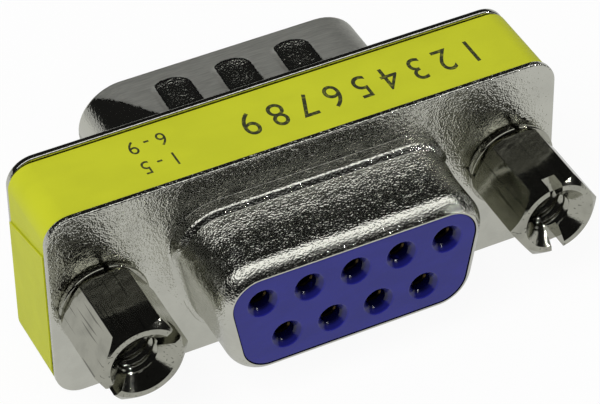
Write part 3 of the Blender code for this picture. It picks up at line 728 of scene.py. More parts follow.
def turned_nickel(look):
    """Bright nickel over turned brass: almost a mirror, with drawn lines, scratches and pits."""
    made, graph = material("turned_nickel")
    place = graph.place()
    lines = graph.noise(graph.place((16.0, 1.0, 16.0)), 2.4 * MM, detail=3.0, roughness=0.6)
    scratches = graph.noise(graph.place((14.0, 0.5, 14.0)), 2.0 * MM, detail=0.0)
    pits = graph.cells(place, 0.34 * MM).above(0.03, 0.10)
    cloud = graph.noise(place, 0.9 * MM, detail=3.0)
    clean = graph.blend(cloud.above(0.4, 0.75), look.turned, tinted(look.turned, 0.84))
    graph.principled({
        "Base Color": graph.blend(scratches.above(0.69, 0.74) * 0.65, clean,
                                  tinted(look.turned, 0.2)),
        "Metallic": 1.0,
        "Roughness": 0.05 + cloud * 0.05 + lines * 0.04,
        "Normal": graph.bump(lines * 0.6 + pits * 0.25 + cloud * 0.8, 0.012 * MM),
    })
    return made


def gold_plate(look):
    """Thin gold over turned brass, with turning rings, a cloudy tone and barrels darkened by
    painted shade.
    """
    made, graph = material("gold_plate")
    depth = graph.axes(graph.place())[1]
    # Painted shade: the gold turns much darker towards the socket side, where the barrels sit in
    # the holes.
    tone = graph.blend(depth.above(-1.0 * MM, 1.0 * MM), tinted(look.gold, 0.12), look.gold)
    rings = graph.noise(graph.place((1.0, 12.0, 1.0)), 0.9 * MM, detail=2.0)
    cloud = graph.noise(graph.place(), 0.7 * MM, detail=2.0)
    graph.principled({
        "Base Color": graph.blend(cloud * 0.15, tone, (0.0, 0.0, 0.0)),
        "Metallic": 1.0,
        "Roughness": 0.18 + cloud * 0.12,
        "Normal": graph.bump(rings, 0.008 * MM),
    })
    return made


def moulding(name, base, gloss, face):
    """Moulded plastic: a fine satin grain, faint flow marks and a slightly uneven gloss.

    Behind its face at this Y its colour darkens with painted shade, so that the holes look as
    deep as they are.
    """
    made, graph = material(name)
    place = graph.place()
    grain = graph.noise(place, 0.09 * MM, detail=2.0)
    flow = graph.noise(graph.place((1.0, 1.0, 2.2)), 2.4 * MM, detail=3.0)
    marks = graph.noise(place, 0.5 * MM, detail=2.0).above(0.60, 0.78)
    tone = graph.blend(flow.above(0.35, 0.7), tinted(base, 0.93), tinted(base, 1.07))
    depth = graph.axes(place)[1]
    # Painted shade: the colour darkens with depth behind the face, inside the holes.
    shade = (depth.above(face + 0.02 * MM, face + 0.10 * MM) * 0.5
             + depth.above(face + 0.16 * MM, face + 0.34 * MM) * 0.5)
    shade = shade * (1.0 - depth.above(-2 * MM, 0.0))
    tone = graph.blend(shade, tone, tinted(base, 0.12))
    graph.principled({
        "Base Color": graph.blend(marks * 0.18, tone, tinted(base, 1.5)),
        "Roughness": gloss + flow * 0.10,
        "Specular IOR Level": 0.5,
        "Normal": graph.bump(grain + flow * 1.5, 0.006 * MM),
    })
    return made


def label_film(look):
    """Printed yellow film: satin, with a very fine ripple and a faint change of tone."""
    made, graph = material("label_film")
    place = graph.place()
    fibre = graph.noise(place, 0.12 * MM, detail=2.0)
    ripple = graph.noise(graph.place((1.0, 1.6, 1.6)), 3.2 * MM, detail=2.0)
    graph.principled({
        "Base Color": graph.blend(ripple.above(0.3, 0.7) * 0.7 + fibre * 0.3,
                                  tinted(look.yellow, 1.04), tinted(look.yellow, 0.95)),
        "Roughness": 0.42 + fibre * 0.12,
        "Specular IOR Level": 0.22,
        "Normal": graph.bump(fibre * 0.2 + ripple, 0.012 * MM),
    })
    return made


def label_ink(look):
    """Dark print, a little thinner here and there."""
    made, graph = material("label_ink")
    patches = graph.noise(graph.place(), 0.22 * MM, detail=3.0)
    graph.principled({
        "Base Color": graph.blend(patches.above(0.45, 0.8) * 0.35, look.ink, look.yellow),
        "Roughness": 0.45 + patches * 0.1,
        "Specular IOR Level": 0.3,
        "Normal": graph.bump(patches, 0.004 * MM),
    })
    return made


def table_top(look, studio):
    """A pale table: the camera sees plain white with a soft shadow, and metal sees a painted
    glow, brightest round the adapter.
    """
    made, graph = material("table_top")
    grain = graph.noise(graph.place(), 6.0 * MM, detail=2.0)
    tone = graph.blend(grain, tinted(look.floor, 0.99), tinted(look.floor, 1.01))
    plain = graph.node("ShaderNodeBsdfPrincipled", {},
                       {"Base Color": tone, "Roughness": 0.8 + grain * 0.1,
                        "Specular IOR Level": 0.2,
                        "Normal": graph.bump(grain, 0.02 * MM)})
    white = graph.node("ShaderNodeEmission", {}, {"Color": (1.0, 1.0, 1.0, 1.0), "Strength": 1.0})
    x, y, _ = graph.axes(graph.place())
    # Painted light: for mirrors the table glows, brightest near the middle and dimmer beyond 130
    # mm.
    apart = (x * x + y * y).above((30 * MM) ** 2, (130 * MM) ** 2)
    painted_glow = graph.node("ShaderNodeEmission", {}, {
        "Color": graph.blend(apart, (1.0, 1.0, 0.985), (0.65, 0.65, 0.64)),
        "Strength": studio.table})
    rays = graph.node("ShaderNodeLightPath", output="Is Camera Ray")
    glossy = graph.node("ShaderNodeLightPath", output="Is Glossy Ray")
    mixed = graph.node("ShaderNodeMixShader", {}, {0: glossy * 0.85, 1: plain, 2: painted_glow})
    mixed = graph.node("ShaderNodeMixShader", {}, {0: rays * 0.93, 1: mixed, 2: white})
    graph.node("ShaderNodeOutputMaterial", {}, {"Surface": mixed})
    made.cycles.emission_sampling = "NONE"
    return made


# The pieces

def bush_holes(hardware, fit):
    """Cutters for the round holes that both bushes pass through."""
    radius = hardware.bush_radius + fit
    path = [(radius, SOCKET_LOW.y), (radius, PIN_HIGH.y)]
    return closed_mesh("bush_holes", *(turned(path, 64, middle_of(f"clinch_bush_{side}"))
                                       for side in SIDES))


def socket_corners(shells, seat_width):
    """The socket shell's outer side as (offset from the D, depth), from its rim to the flange."""
    face = SOCKET_HIGH.y - shells.sheet
    step = face - shells.step_height
    corners = [
        (-shells.lip_shoulder, SOCKET_LOW.y),
        (0.0, SOCKET_LOW.y + shells.lip_rise),
        (0.0, step - shells.step_slope - shells.step_taper),
        (shells.step_width - shells.step_drop, step - shells.step_slope),
        (shells.step_width, step),
        (shells.step_width, face),
        (seat_width, face),
    ]
    radii = [shells.lip_radius, shells.taper_radius, shells.step_foot, shells.step_edge,
             shells.base_fillet]
    return corners, radii


def socket_rows(shells, d, path, distance):
    """The socket side's surface at a distance inside its outer side: a grid of points.

    The path runs over the step where the D is flat and round its corners. Towards the leaning
    sides each column goes over, by its angle from the side, to a path whose part on the step is
    a quarter circle between the wall and the flange.
    """
    face = SOCKET_HIGH.y - shells.sheet
    on_step = path[:, 1] > face - shells.step_height - shells.step_slope - shells.step_taper
    angle = np.linspace(0, math.pi / 2, np.count_nonzero(on_step))
    radius = shells.side_fillet + distance
    beside = path.copy()
    beside[on_step] = np.stack([shells.side_fillet - radius * np.cos(angle),
                                face - shells.side_fillet + radius * np.sin(angle)], -1)
    from_side = np.abs(np.arctan2(d.ways[:, 1], np.abs(d.ways[:, 0])) + shells.side_angle)
    share = smooth(from_side / shells.step_fade)[None, :, None]
    stepped, plain = [d.carried(shells.socket_corner + line[:, 0], line[:, 1])
                      for line in (path, beside)]
    return plain + (stepped - plain) * share


def flange_rows(outline, shells, inner, outer):
    """Rows round a flange's cut edge, from its inner face to its outer one."""
    far = 3 * shells.flange_roll
    corners = [(far, inner), (0.0, inner), (0.0, outer), (far, outer)]
    path = rounded_path(corners, [shells.flange_roll, shells.flange_roll], 4)
    return outline.carried(shells.flange_corner - path[:, 0], path[:, 1])


def socket_shell(shells, mouldings):
    """The socket side's shell: one sheet from the flange's edge to the turned-in lip.

    A profile of (offset, depth) is carried round the D, its other side worked out parallel to
    it, and both sides run out into rows round the flange's edge.
    """
    corners, radii = socket_corners(shells, mouldings.seat_width)
    rim = [(-shells.lip_width, SOCKET_LOW.y)]
    outer = rounded_path(rim + corners, [shells.lip_edge] + radii, 8)[:-1]
    inner = rounded_path(*parallel(corners, radii, shells.sheet), 8)[:-1]
    steps = 16
    d = socket_d(shells, steps)
    edge = rectangle_outline(FLANGE_WIDTH, FLANGE_HEIGHT, shells.flange_corner, steps)
    face = SOCKET_HIGH.y - shells.sheet
    rows = [flange_rows(edge, shells, SOCKET_HIGH.y, face),
            socket_rows(shells, d, outer, 0.0)[::-1],
            socket_rows(shells, d, trimmed(inner, -shells.lip_width), shells.sheet)]
    surface = Surface()
    surface.grid(np.concatenate(rows), wrap_rows=True)
    return surface.mesh("socket_shell")


def dimple_depth(shells, x, y):
    """How far the sheet is pressed in at (x, y), and how bright the plate is kept there.

    Each dimple is a round-ended bar. With d the distance to the bar's middle line over half its
    width, the depth is the press times 1 minus d to a power, so the sides are steep, and it
    grows along the bar from the end at the mouth, so the floor is a gentle ramp. The plate
    stays bright in it, but for a strip along the bar's left side.
    """
    half = shells.dimple_width / 2
    round_end = half * 0.7
    near = PIN_LOW.y + shells.sheet + shells.dimple_foot + half
    far = PIN_HIGH.y - shells.dimple_mouth
    number = np.clip(np.round(x / shells.dimple_pitch), -1, 1)
    dx = x - number * shells.dimple_pitch
    dy = np.maximum(near - y, 0) + np.maximum(y - far + round_end, 0) * half / round_end
    reach = np.hypot(dx, dy) / half
    ramp = np.clip((far - y) / shells.dimple_ramp, 0, 1)
    inside = np.clip(1 - reach ** shells.dimple_edge, 0, 1)
    bright = np.clip(inside * 3, 0, 1) * np.clip((dx / half + 0.80) / 0.15, 0, 1)
    return shells.dimple_press * inside * ramp, bright


def worn_mask(points, ways, bright):
    """How rubbed the pin side's shell is: all over, but for the dimples and one bright corner.

    The bright corner reaches from the flange to a slanting line, and round to the side.
    """
    x, y = points[..., 0], points[..., 1]
    tilt = np.degrees(np.arctan2(-ways[:, 0], ways[:, 1]))[None]
    limit = PIN_LOW.y + 8.3 * MM - 1.45 * (x + 9.2 * MM)
    corner = np.clip((limit - y) / (0.9 * MM), 0, 1) * np.clip((105 - tilt) / 15, 0, 1)
    corner = corner * (ways[:, 1] > 0)[None] * (x < 0)
    return np.clip(1 - bright - corner, 0, 1)


def pin_shell(shells, mouldings):
    """The pin side's shell: a plain drawn D whose dimples are pressed in from outside.

    The outline is parallel to the D at each depth, less the dimples' depth where the outline
    is flat, above and below, so both sides of the sheet bend alike.
    """
    inner_face, face = PIN_LOW.y, PIN_LOW.y + shells.sheet
    corners = [
        (mouldings.seat_width, face),
        (0.0, face),
        (0.0, PIN_HIGH.y),
        (-shells.sheet, PIN_HIGH.y),
        (-shells.sheet, inner_face),
        (mouldings.seat_width, inner_face),
    ]
    radii = [shells.pin_fillet, shells.mouth_edge, shells.mouth_edge,
             shells.pin_fillet + shells.sheet]
    path = refined(rounded_path(corners, radii, 6)[1:-1], 0.09 * MM)
    steps, flat_steps = 14, 130
    d = pin_d(shells, steps, flat_steps)
    edge = rectangle_outline(PIN_HIGH.x - PIN_LOW.x, FLANGE_HEIGHT, shells.flange_corner, steps,
                             flat_steps)
    flat = np.abs(d.ways[:, 1]) > 1 - 1e-9
    press, bright = dimple_depth(shells, d.spots[None, :, 0], path[:, 1:])
    press, bright = press * flat, bright * flat
    radii = shells.pin_corner + shells.sheet + path[:, :1] - press
    wall = d.carried(radii, path[:, 1])
    rows = [flange_rows(edge, shells, inner_face, face), wall]
    masks = [np.zeros(rows[0].shape[:2]), worn_mask(wall, d.ways, bright)]
    surface = Surface()
    surface.grid(np.concatenate(rows), wrap_rows=True, mask=np.concatenate(masks))
    return surface.mesh("pin_shell")


def collar_start(contacts):
    """Where the contacts' collars start: they are centred between the flanges."""
    return MIDDLE_Y - contacts.collar_length / 2


def socket_hole(mouldings, contacts, node):
    """A socket hole from the face inwards: rim bevel, funnel, bore and the collar's pocket."""
    face = SOCKET_LOW.y + mouldings.recess
    flare = mouldings.rim_width / mouldings.rim_depth
    barrel = contacts.barrel_radius + mouldings.fit
    pocket = contacts.collar_radius + mouldings.fit
    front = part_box(node)[0].y - mouldings.fit
    collar = collar_start(contacts)
    return [
        (mouldings.funnel_radius + mouldings.rim_width + flare * OVERRUN, face - OVERRUN),
        (mouldings.funnel_radius, face + mouldings.rim_depth),
        (mouldings.entry_radius, face + mouldings.funnel_depth),
        (mouldings.entry_radius, front),
        (barrel, front),
        (barrel, collar - mouldings.fit),
        (pocket, collar - mouldings.fit),
        (pocket, collar + contacts.collar_length),
    ]


def hole_cutters(path_of, sides):
    """One turned cutter at each contact."""
    return closed_mesh("holes", *(turned(path_of(node), sides, middle_of(node))
                                  for node in CONTACT_NODES))


def socket_moulding(shells, mouldings, contacts):
    """The blue insulator of the socket side, which fills its shell up to the face."""
    corners, radii = socket_corners(shells, mouldings.seat_width)
    inside = shells.sheet + mouldings.fit
    nose = -shells.lip_width - mouldings.fit
    path = trimmed(rounded_path(*parallel(corners, radii, inside), 6), nose)
    face = SOCKET_LOW.y + mouldings.recess
    front = rounded_path([(nose - 3 * mouldings.face_edge, face), (nose, face),
                          (nose, path[0, 1])], [mouldings.face_edge], 4)
    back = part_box("female_insulator")[1].y
    d = socket_d(shells, 14)
    seat = shells.socket_corner + mouldings.seat_width
    rows = [d.carried(shells.socket_corner + front[:-1, 0], front[:-1, 1]),
            socket_rows(shells, d, path[:-1], inside),
            d.carried([seat, seat], [path[-1, 1], back])]
    holes = hole_cutters(lambda node: socket_hole(mouldings, contacts, node), 120)
    return carved(closed_mesh("socket_moulding", np.concatenate(rows)), ("DIFFERENCE", holes))


def pin_moulding(shells, mouldings, contacts):
    """The blue insulator of the pin side, whose bevelled plinth stands in the shell."""
    low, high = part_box("male_insulator")
    flange_back = PIN_LOW.y - mouldings.fit
    neck = -mouldings.fit
    bevel = mouldings.plinth_bevel
    corners = [(neck, flange_back), (neck, high.y - bevel), (neck - bevel, high.y),
               (neck - 2 * bevel, high.y)]
    path = rounded_path(corners, [bevel / 4, bevel / 4], 4)
    outward = shells.socket_corner + mouldings.seat_width
    rows = [socket_d(shells, 14).carried([outward, outward], [low.y, flange_back]),
            pin_d(shells, 14).carried(shells.pin_corner + path[:, 0], path[:, 1])]
    collar = collar_start(contacts)
    end = collar + contacts.collar_length + mouldings.fit
    hole = [(contacts.collar_radius + mouldings.fit, collar),
            (contacts.collar_radius + mouldings.fit, end),
            (contacts.pin_radius + mouldings.fit, end),
            (contacts.pin_radius + mouldings.fit, high.y + OVERRUN)]
    holes = hole_cutters(lambda node: hole, 32)
    return carved(closed_mesh("pin_moulding", np.concatenate(rows)), ("DIFFERENCE", holes))


def contact_mesh(contacts, node):
    """A contact turned in one: slit barrel, collar and pin with a tip rounded as an ellipse."""
    low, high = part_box(node)
    front, tip = low.y, high.y
    start = collar_start(contacts)
    end = start + contacts.collar_length
    corners = [
        (0.02 * MM, front + contacts.barrel_length + contacts.bore_radius / 2),
        (contacts.bore_radius, front + contacts.barrel_length),
        (contacts.bore_radius, front + contacts.barrel_bevel),
        (contacts.bore_radius + contacts.barrel_bevel, front),
        (contacts.barrel_radius, front),
        (contacts.barrel_radius, start),
        (contacts.collar_radius, start),
        (contacts.collar_radius, end),
        (contacts.pin_radius, end),
    ]
    radii = [0.0, 0.0, 0.03 * MM, 0.03 * MM, 0.0, 0.05 * MM, 0.05 * MM]
    angle = np.linspace(0, math.radians(86), 9)
    round_tip = np.stack([contacts.pin_radius * np.cos(angle),
                          tip - contacts.pin_tip * (1 - np.sin(angle))], -1)
    path = np.concatenate([rounded_path(corners, radii, 3), round_tip])
    x, z = middle_of(node)
    half = contacts.slit_width / 2
    wide = 2 * contacts.barrel_radius
    slit = box_mesh((x - wide, front - wide, z - half),
                    (x + wide, front + contacts.slit_length, z + half))
    return carved(closed_mesh("contact", turned(path, 36, (x, z))), ("DIFFERENCE", slit))


def label_mesh(shells, label, fit):
    """The label: a film's section carried up the left end, once round and over its own start.

    Along the way a lift of one layer and a sideways skew grow round the last corner, so the end
    lies on the start.
    """
    inset = label.sink + label.thickness + fit
    radius = shells.flange_corner - inset
    x = FLANGE_WIDTH / 2 - shells.flange_corner + label.reach
    z = FLANGE_HEIGHT / 2 - shells.flange_corner
    steps = 16
    turns = [np.radians(np.linspace(a, a - 90, steps + 1)) for a in (180, 90, 0, -90)]
    centers = np.repeat([(-x, z), (x, z), (x, -z), (-x, -z)], steps + 1, axis=0)
    angle = np.concatenate([[math.pi], *turns, [-math.pi]])
    ways = np.stack([np.cos(angle), np.sin(angle)], -1)
    spots = np.concatenate([[(-x, label.start_rise - z)], centers, [(-x, z - label.end_drop)]])
    rise = np.zeros(len(angle))
    rise[-steps - 2:-1] = np.linspace(0, 1, steps + 1)
    rise[-1] = 1.0
    inner = radius + fit / 2 + rise * (label.thickness + label.layer_gap)
    outer = inner + label.thickness
    front = SOCKET_HIGH.y + label.margin + label.skew * rise
    rear = np.full(len(angle), PIN_LOW.y - label.margin)
    slant = np.zeros(len(angle))
    slant[-1] = -label.end_slant
    rows = []
    for reach, depth, shift in ((inner, front, 0), (outer, front, 0), (outer, rear, slant),
                                (inner, rear, slant)):
        flat = spots + reach[:, None] * ways
        rows.append(np.stack([flat[:, 0], depth, CENTER_Z + flat[:, 1] + shift], -1))
    return closed_mesh("label", np.stack(rows, axis=1))


def number_mesh(text, size, narrow, right, depth, height):
    """A line of plain numbers, flat and upside down as seen from the socket side.

    The text's own plane is turned half round, so X and Y change sign, X is narrowed, and it is
    moved to its place.
    """
    curve = bpy.data.curves.new("numbers", "FONT")
    curve.body = text
    curve.size = size
    curve.resolution_u = 6
    return moved(evaluated(placed("numbers", curve)), lambda x, y, z: (
        right - x * narrow, depth - y, np.full(len(x), height)))


def petal_wedges(hardware, center, low, high):
    """The four wedges that part a bush's flared end into petals."""
    reach = hardware.petal_radius * 1.25
    depth = hardware.petal_radius - hardware.notch_root
    half = hardware.notch_mouth / 2 * (reach - hardware.notch_root) / depth
    corner = np.array([(hardware.notch_root, 0.0), (reach, -half), (reach, half)])
    angle = hardware.petal_turn + np.arange(4)[:, None] * math.pi / 2
    x = center[0] + corner[:, 0] * np.cos(angle) - corner[:, 1] * np.sin(angle)
    z = center[1] + corner[:, 0] * np.sin(angle) + corner[:, 1] * np.cos(angle)
    return closed_mesh("wedges", *(prism(x[i], z[i], (low - OVERRUN, high)) for i in range(4)))


def bush_mesh(shells, hardware, node):
    """A clinch bush: flared into a rolled rim of four petals in front, headed behind."""
    low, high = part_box(node)
    center = middle_of(node)
    flange = SOCKET_HIGH.y - shells.sheet
    face = flange - hardware.petal_gap
    rim = low.y
    rear_face = high.y - hardware.head_thickness
    corners = [
        (hardware.bush_bore, (rim + high.y) / 2),
        (hardware.bush_bore, rim + hardware.throat_depth),
        (hardware.bush_bore + hardware.throat_width, rim),
        (hardware.petal_radius, rim),
        (hardware.petal_radius - hardware.petal_lean, face),
        (hardware.bush_radius, face),
        (hardware.bush_radius, rear_face),
        (hardware.head_radius, rear_face),
        (hardware.head_radius, high.y),
        (hardware.bush_bore, high.y),
        (hardware.bush_bore, (rim + high.y) / 2),
    ]
    radii = [0.2 * MM, 0.1 * MM, hardware.petal_curl, 0.12 * MM, 0.02 * MM, 0.02 * MM, 0.05 * MM,
             hardware.head_bevel, 0.10 * MM]
    path = rounded_path(corners, radii, 5)[:-1]
    surface = Surface()
    surface.grid(turned(path, 96, center), wrap_rows=True)
    wedges = petal_wedges(hardware, center, rim, flange)
    return carved(surface.mesh("bush"), ("DIFFERENCE", wedges))


def thread(minor, major, pitch, depth, angle):
    """The radius of a helical thread: a rounded ridge that moves on one pitch a turn."""
    wave = 0.5 + 0.5 * np.cos(2 * math.pi * depth / pitch - angle)
    return major - (major - minor) * wave ** 0.75


def bore_mesh(hardware, end, foot, center):
    """The tapped bore with its countersink: at each depth the wider of thread and cone."""
    floor = foot - hardware.floor
    slope = (hardware.sink_radius - hardware.thread_minor) / hardware.sink_depth

    def radius_of(depth, angle):
        ridge = thread(hardware.thread_minor, hardware.thread_major, hardware.thread_pitch,
                       depth, angle)
        cone = hardware.sink_radius - (depth - end) * slope
        return np.maximum(ridge, cone)

    depths = np.arange(end - 0.2 * MM, floor, 0.035 * MM)
    return closed_mesh("bore", rings(depths, radius_of, 64, center))


def stud_mesh(hardware, foot, tip, center):
    """The threaded stud: the thread's radius, narrowed to a cone at the tip."""
    def radius_of(depth, angle):
        ridge = thread(hardware.stud_radius, hardware.thread_minor, hardware.thread_pitch,
                       depth, angle)
        cone = hardware.thread_minor * 0.9 + (tip - depth)
        return np.minimum(ridge, cone)

    depths = np.linspace(foot - OVERRUN, tip, 150)
    return closed_mesh("stud", rings(depths, radius_of, 48, center))


def hexagon_mesh(hardware, foot, end, center):
    """A hexagonal bar: the outline's six corners are short arcs about centres on a hexagon."""
    inner = hardware.across_flats / 2 - hardware.hex_edge
    spread = inner / math.cos(math.pi / 6)
    corner = np.repeat(np.arange(6) * math.pi / 3 + math.pi / 6, 5)
    swing = corner + np.tile(np.linspace(-math.pi / 6, math.pi / 6, 5), 6)
    x = center[0] + spread * np.cos(corner) + hardware.hex_edge * np.cos(swing)
    z = center[1] + spread * np.sin(corner) + hardware.hex_edge * np.sin(swing)
    return closed_mesh("hexagon", prism(x, z, (end, foot)))


def jack_mesh(hardware, node, angle):
    """A jack socket: hexagon with turned ends, driver slot, tapped bore and threaded stud."""
    low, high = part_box(node)
    center = middle_of(f"clinch_bush_{node.rsplit('_', 1)[1]}")
    end = low.y
    foot = high.y - hardware.stud_length
    wide = hardware.across_flats / math.sqrt(3)
    corners = [(0.1 * MM, foot), (hardware.foot_radius, foot),
               (wide, foot - hardware.foot_chamfer), (wide, end + hardware.end_chamfer),
               (hardware.end_radius, end), (0.1 * MM, end)]
    radii = [0.05 * MM, 0.1 * MM, 0.1 * MM, 0.05 * MM]
    blank = closed_mesh("blank", turned(rounded_path(corners, radii, 4), 128, center))
    half, reach = hardware.slot_width / 2, hardware.across_flats
    slot = box_mesh((center[0] - reach, end - OVERRUN, center[1] - half),
                    (center[0] + reach, end + hardware.slot_depth, center[1] + half))
    body = carved(hexagon_mesh(hardware, foot, end, center), ("INTERSECT", blank),
                  ("DIFFERENCE", slot))
    body = carved(body, ("UNION", stud_mesh(hardware, foot, high.y, center)),
                  ("DIFFERENCE", bore_mesh(hardware, end, foot, center)))
    return turned_about_y(body, angle, center)


# Operators

class ADAPTER_OT_shells(bpy.types.Operator):
    """Build the two drawn shells with their flanges"""

    bl_idname = "adapter.shells"
    bl_label = "Shells"

    def execute(self, context):
        scene = context.scene
        shells, mouldings = scene.adapter_shells, scene.adapter_mouldings
        look = scene.adapter_finishes
        bright, rubbed = pebbled_nickel(look), rubbed_nickel(look)
        for name, mesh, finish, node in (
                ("socket_shell", socket_shell(shells, mouldings), bright, "female_shell"),
                ("pin_shell", pin_shell(shells, mouldings), rubbed, "male_shell")):
            holes = bush_holes(scene.adapter_hardware, mouldings.fit)
            dress(name, carved(mesh, ("DIFFERENCE", holes)), finish, "nickel_steel", node)
        return {"FINISHED"}


class ADAPTER_OT_mouldings(bpy.types.Operator):
    """Build the two blue insulators and finish the black spacer between the flanges"""

    bl_idname = "adapter.mouldings"
    bl_label = "Mouldings"

    def execute(self, context):
        scene = context.scene
        sizes = scene.adapter_shells, scene.adapter_mouldings, scene.adapter_contacts
        look = scene.adapter_finishes
        face = SOCKET_LOW.y + scene.adapter_mouldings.recess
        blue = moulding("blue_moulding", look.blue, look.blue_gloss, face)
        dress("socket_moulding", socket_moulding(*sizes), blue, "blue_moulding",
              "female_insulator")
        dress("pin_moulding", pin_moulding(*sizes), blue, "blue_moulding", "male_insulator")
        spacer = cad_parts["spacer_frame"]
        spacer.data.materials.clear()
        black = moulding("black_moulding", look.black, look.black_gloss, 0.0)
        spacer.data.materials.append(black)
        return {"FINISHED"}


class ADAPTER_OT_contacts(bpy.types.Operator):
    """Build the gold contacts, each a slit barrel and a pin"""

    bl_idname = "adapter.contacts"
    bl_label = "Contacts"

    def execute(self, context):
        scene = context.scene
        gold = gold_plate(scene.adapter_finishes)
        for node in CONTACT_NODES:
            dress(f"gold_{node}", contact_mesh(scene.adapter_contacts, node), gold,
                  "gold_contact", node)
        return {"FINISHED"}


class ADAPTER_OT_label(bpy.types.Operator):
    """Build the label round the band, with its plain numbers"""

    bl_idname = "adapter.label"
    bl_label = "Label"

    def execute(self, context):
        scene = context.scene
        shells, sizes = scene.adapter_shells, scene.adapter_label
        look = scene.adapter_finishes
        film = label_mesh(shells, sizes, scene.adapter_mouldings.fit)
        dress("yellow_label", film, label_film(look), "label_film", "label")
        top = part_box("label")[1].z + sizes.ink_lift
        ink = label_ink(look)
        for name, text, size, start, line in (
                ("numbers", sizes.numbers, sizes.number_size, sizes.number_start,
                 sizes.number_line),
                ("numbers_upper", sizes.upper_numbers, sizes.small_size, sizes.small_start,
                 sizes.upper_line),
                ("numbers_lower", sizes.lower_numbers, sizes.small_size, sizes.small_start,
                 sizes.lower_line)):
            mesh = number_mesh(text, size, sizes.narrow, start, MIDDLE_Y + line, top)
            dress(f"label_{name}", mesh, ink, "label_film")
        return {"FINISHED"}


class ADAPTER_OT_hardware(bpy.types.Operator):
    """Build the clinch bushes and jack sockets at both ends"""

    bl_idname = "adapter.hardware"
    bl_label = "Bushes and jack sockets"

    def execute(self, context):
        scene = context.scene
        shells, hardware = scene.adapter_shells, scene.adapter_hardware
        nickel = turned_nickel(scene.adapter_finishes)
        for side, turned_by in zip(SIDES, (hardware.left_turn, hardware.right_turn)):
            bush, jack = f"clinch_bush_{side}", f"jack_socket_{side}"
            dress(f"petal_bush_{side}", bush_mesh(shells, hardware, bush), nickel,
                  "nickel_brass", bush)
            dress(f"hex_jack_{side}", jack_mesh(hardware, jack, turned_by), nickel,
                  "nickel_brass", jack)
        return {"FINISHED"}


def world_light(studio):
    """The room's light by direction: a soft square overhead, a pale sweep behind, and a fill.

    Straight up is z = 1. The square is where x / z and y / z are both small, the sweep is low
    down behind, and what mirrors show of the rest is dark. Dull surfaces get the even fill.
    """
    world = bpy.data.worlds.new("studio")
    world.use_nodes = True
    graph = Graph(world.node_tree)
    way = graph.node("ShaderNodeTexCoord", output="Generated")
    x, y, z = graph.axes(way)
    up = graph.node("ShaderNodeMath", {"operation": "MAXIMUM"}, {0: z, 1: 0.01})
    across = 1.0 - abs(x / up).above(0.95, 1.25)
    behind = 1.0 - (y / up).above(0.30, 0.50)
    square = across * behind * (y / up).above(-0.34, -0.14)
    skirt = across * behind * (y / up).above(-0.90, -0.72)
    glossy = graph.node("ShaderNodeLightPath", output="Is Glossy Ray")
    sweep = y.above(0.0, 0.1) * (1.0 - z.above(0.08, 0.20)) * 0.75
    seen = studio.surround + square * (studio.overhead - studio.skirt) + skirt * studio.skirt
    seen = seen + sweep * studio.table
    bright = glossy * seen + (1.0 - glossy) * studio.fill
    back = graph.node("ShaderNodeBackground", {}, {"Color": bright, "Strength": 1.0})
    graph.node("ShaderNodeOutputWorld", {}, {"Surface": back})
    world.cycles.sampling_method = "NONE"
    bpy.context.scene.world = world


def add_lamp(name, size, power, aim, offset, glossy):
    """A square area lamp that looks at a point, hidden from mirrors unless glossy."""
    lamp = bpy.data.lights.new(name, "AREA")
    lamp.size = size
    lamp.energy = power
    holder = placed(name, lamp)
    holder.location = Vector(aim) + Vector(offset)
    holder.rotation_mode = "QUATERNION"
    holder.rotation_quaternion = (-Vector(offset)).to_track_quat("-Z", "Y")
    holder.visible_glossy = glossy


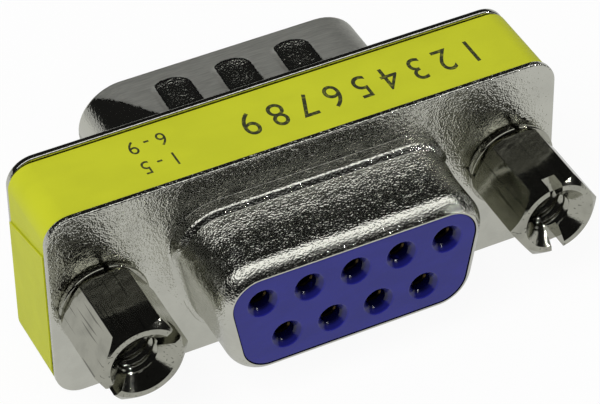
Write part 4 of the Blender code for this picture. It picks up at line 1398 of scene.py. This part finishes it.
class ADAPTER_OT_stage(bpy.types.Operator):
    """Set up the pale table, the soft light and the camera at the photograph's angle"""

    bl_idname = "adapter.stage"
    bl_label = "Table, light and camera"

    def execute(self, context):
        scene = context.scene
        studio = scene.adapter_studio
        scene.view_settings.view_transform = "Standard"
        world_light(studio)
        self.table(scene, studio)
        self.camera(scene, studio)
        add_lamp("key", studio.key_size, studio.key_power, studio.aim, studio.key_place, False)
        add_lamp("glint", studio.glint_size, studio.glint_power, studio.aim, studio.glint_place,
                 True)
        return {"FINISHED"}

    def table(self, scene, studio):
        """A wide flat square at z = 0, as a grid of two rows and two columns."""
        half = studio.table_width / 2
        x, y = np.meshgrid([-half, half], [-half, half])
        surface = Surface()
        surface.grid(np.stack([x, y, np.zeros((2, 2))], -1), wrap_columns=False)
        mesh = surface.mesh("table_top")
        if mesh.polygons[0].normal.z < 0:
            mesh.flip_normals()
        mesh.materials.append(table_top(scene.adapter_finishes, studio))
        table = placed("table_top", mesh)

    def camera(self, scene, studio):
        """A long lens that looks at the aim point, its axis off the frame's middle a little."""
        data = bpy.data.cameras.new("camera")
        data.sensor_width = 36.0
        data.lens = studio.lens
        data.shift_x = -studio.axis_right / studio.image_width
        data.shift_y = studio.axis_down / studio.image_width
        data.clip_start = 10 * MM
        data.clip_end = 20.0
        camera = placed("camera", data)
        a, e = studio.azimuth, studio.elevation
        back = Vector((math.sin(a) * math.cos(e), -math.cos(a) * math.cos(e), math.sin(e)))
        camera.location = Vector(studio.aim) + back * studio.distance
        camera.rotation_mode = "QUATERNION"
        level = (-back).to_track_quat("-Z", "Y")
        camera.rotation_quaternion = level @ Quaternion((0.0, 0.0, 1.0), studio.roll)
        scene.camera = camera


class ADAPTER_PT_panel(bpy.types.Panel):
    """The sidebar's list of pieces and sizes"""

    bl_label = "D-sub adapter"
    bl_idname = "ADAPTER_PT_panel"
    bl_space_type = "VIEW_3D"
    bl_region_type = "UI"
    bl_category = "Adapter"

    def draw(self, context):
        for operator in OPERATORS:
            self.layout.operator(operator.bl_idname)
        for name, group in GROUPS.items():
            box = self.layout.box()
            box.label(text=group.__doc__)
            for prop in group.__annotations__:
                box.prop(getattr(context.scene, name), prop)


GROUPS = {
    "adapter_shells": ShellSizes,
    "adapter_mouldings": MouldingSizes,
    "adapter_contacts": ContactSizes,
    "adapter_label": LabelSizes,
    "adapter_hardware": HardwareSizes,
    "adapter_finishes": Finishes,
    "adapter_studio": Studio,
}
OPERATORS = (ADAPTER_OT_stage, ADAPTER_OT_shells, ADAPTER_OT_mouldings, ADAPTER_OT_contacts,
             ADAPTER_OT_label, ADAPTER_OT_hardware)


def register():
    """Registers the property groups, the operators and the panel."""
    for name, group in GROUPS.items():
        bpy.utils.register_class(group)
        setattr(bpy.types.Scene, name, PointerProperty(type=group))
    for operator in OPERATORS:
        bpy.utils.register_class(operator)
    bpy.utils.register_class(ADAPTER_PT_panel)


def unregister():
    """Undoes register."""
    bpy.utils.unregister_class(ADAPTER_PT_panel)
    for operator in reversed(OPERATORS):
        bpy.utils.unregister_class(operator)
    for name, group in reversed(GROUPS.items()):
        delattr(bpy.types.Scene, name)
        bpy.utils.unregister_class(group)


def main():
    register()
    bpy.ops.adapter.stage()
    bpy.ops.adapter.shells()
    bpy.ops.adapter.mouldings()
    bpy.ops.adapter.contacts()
    bpy.ops.adapter.label()
    bpy.ops.adapter.hardware()


if __name__ == "__main__":
    main()
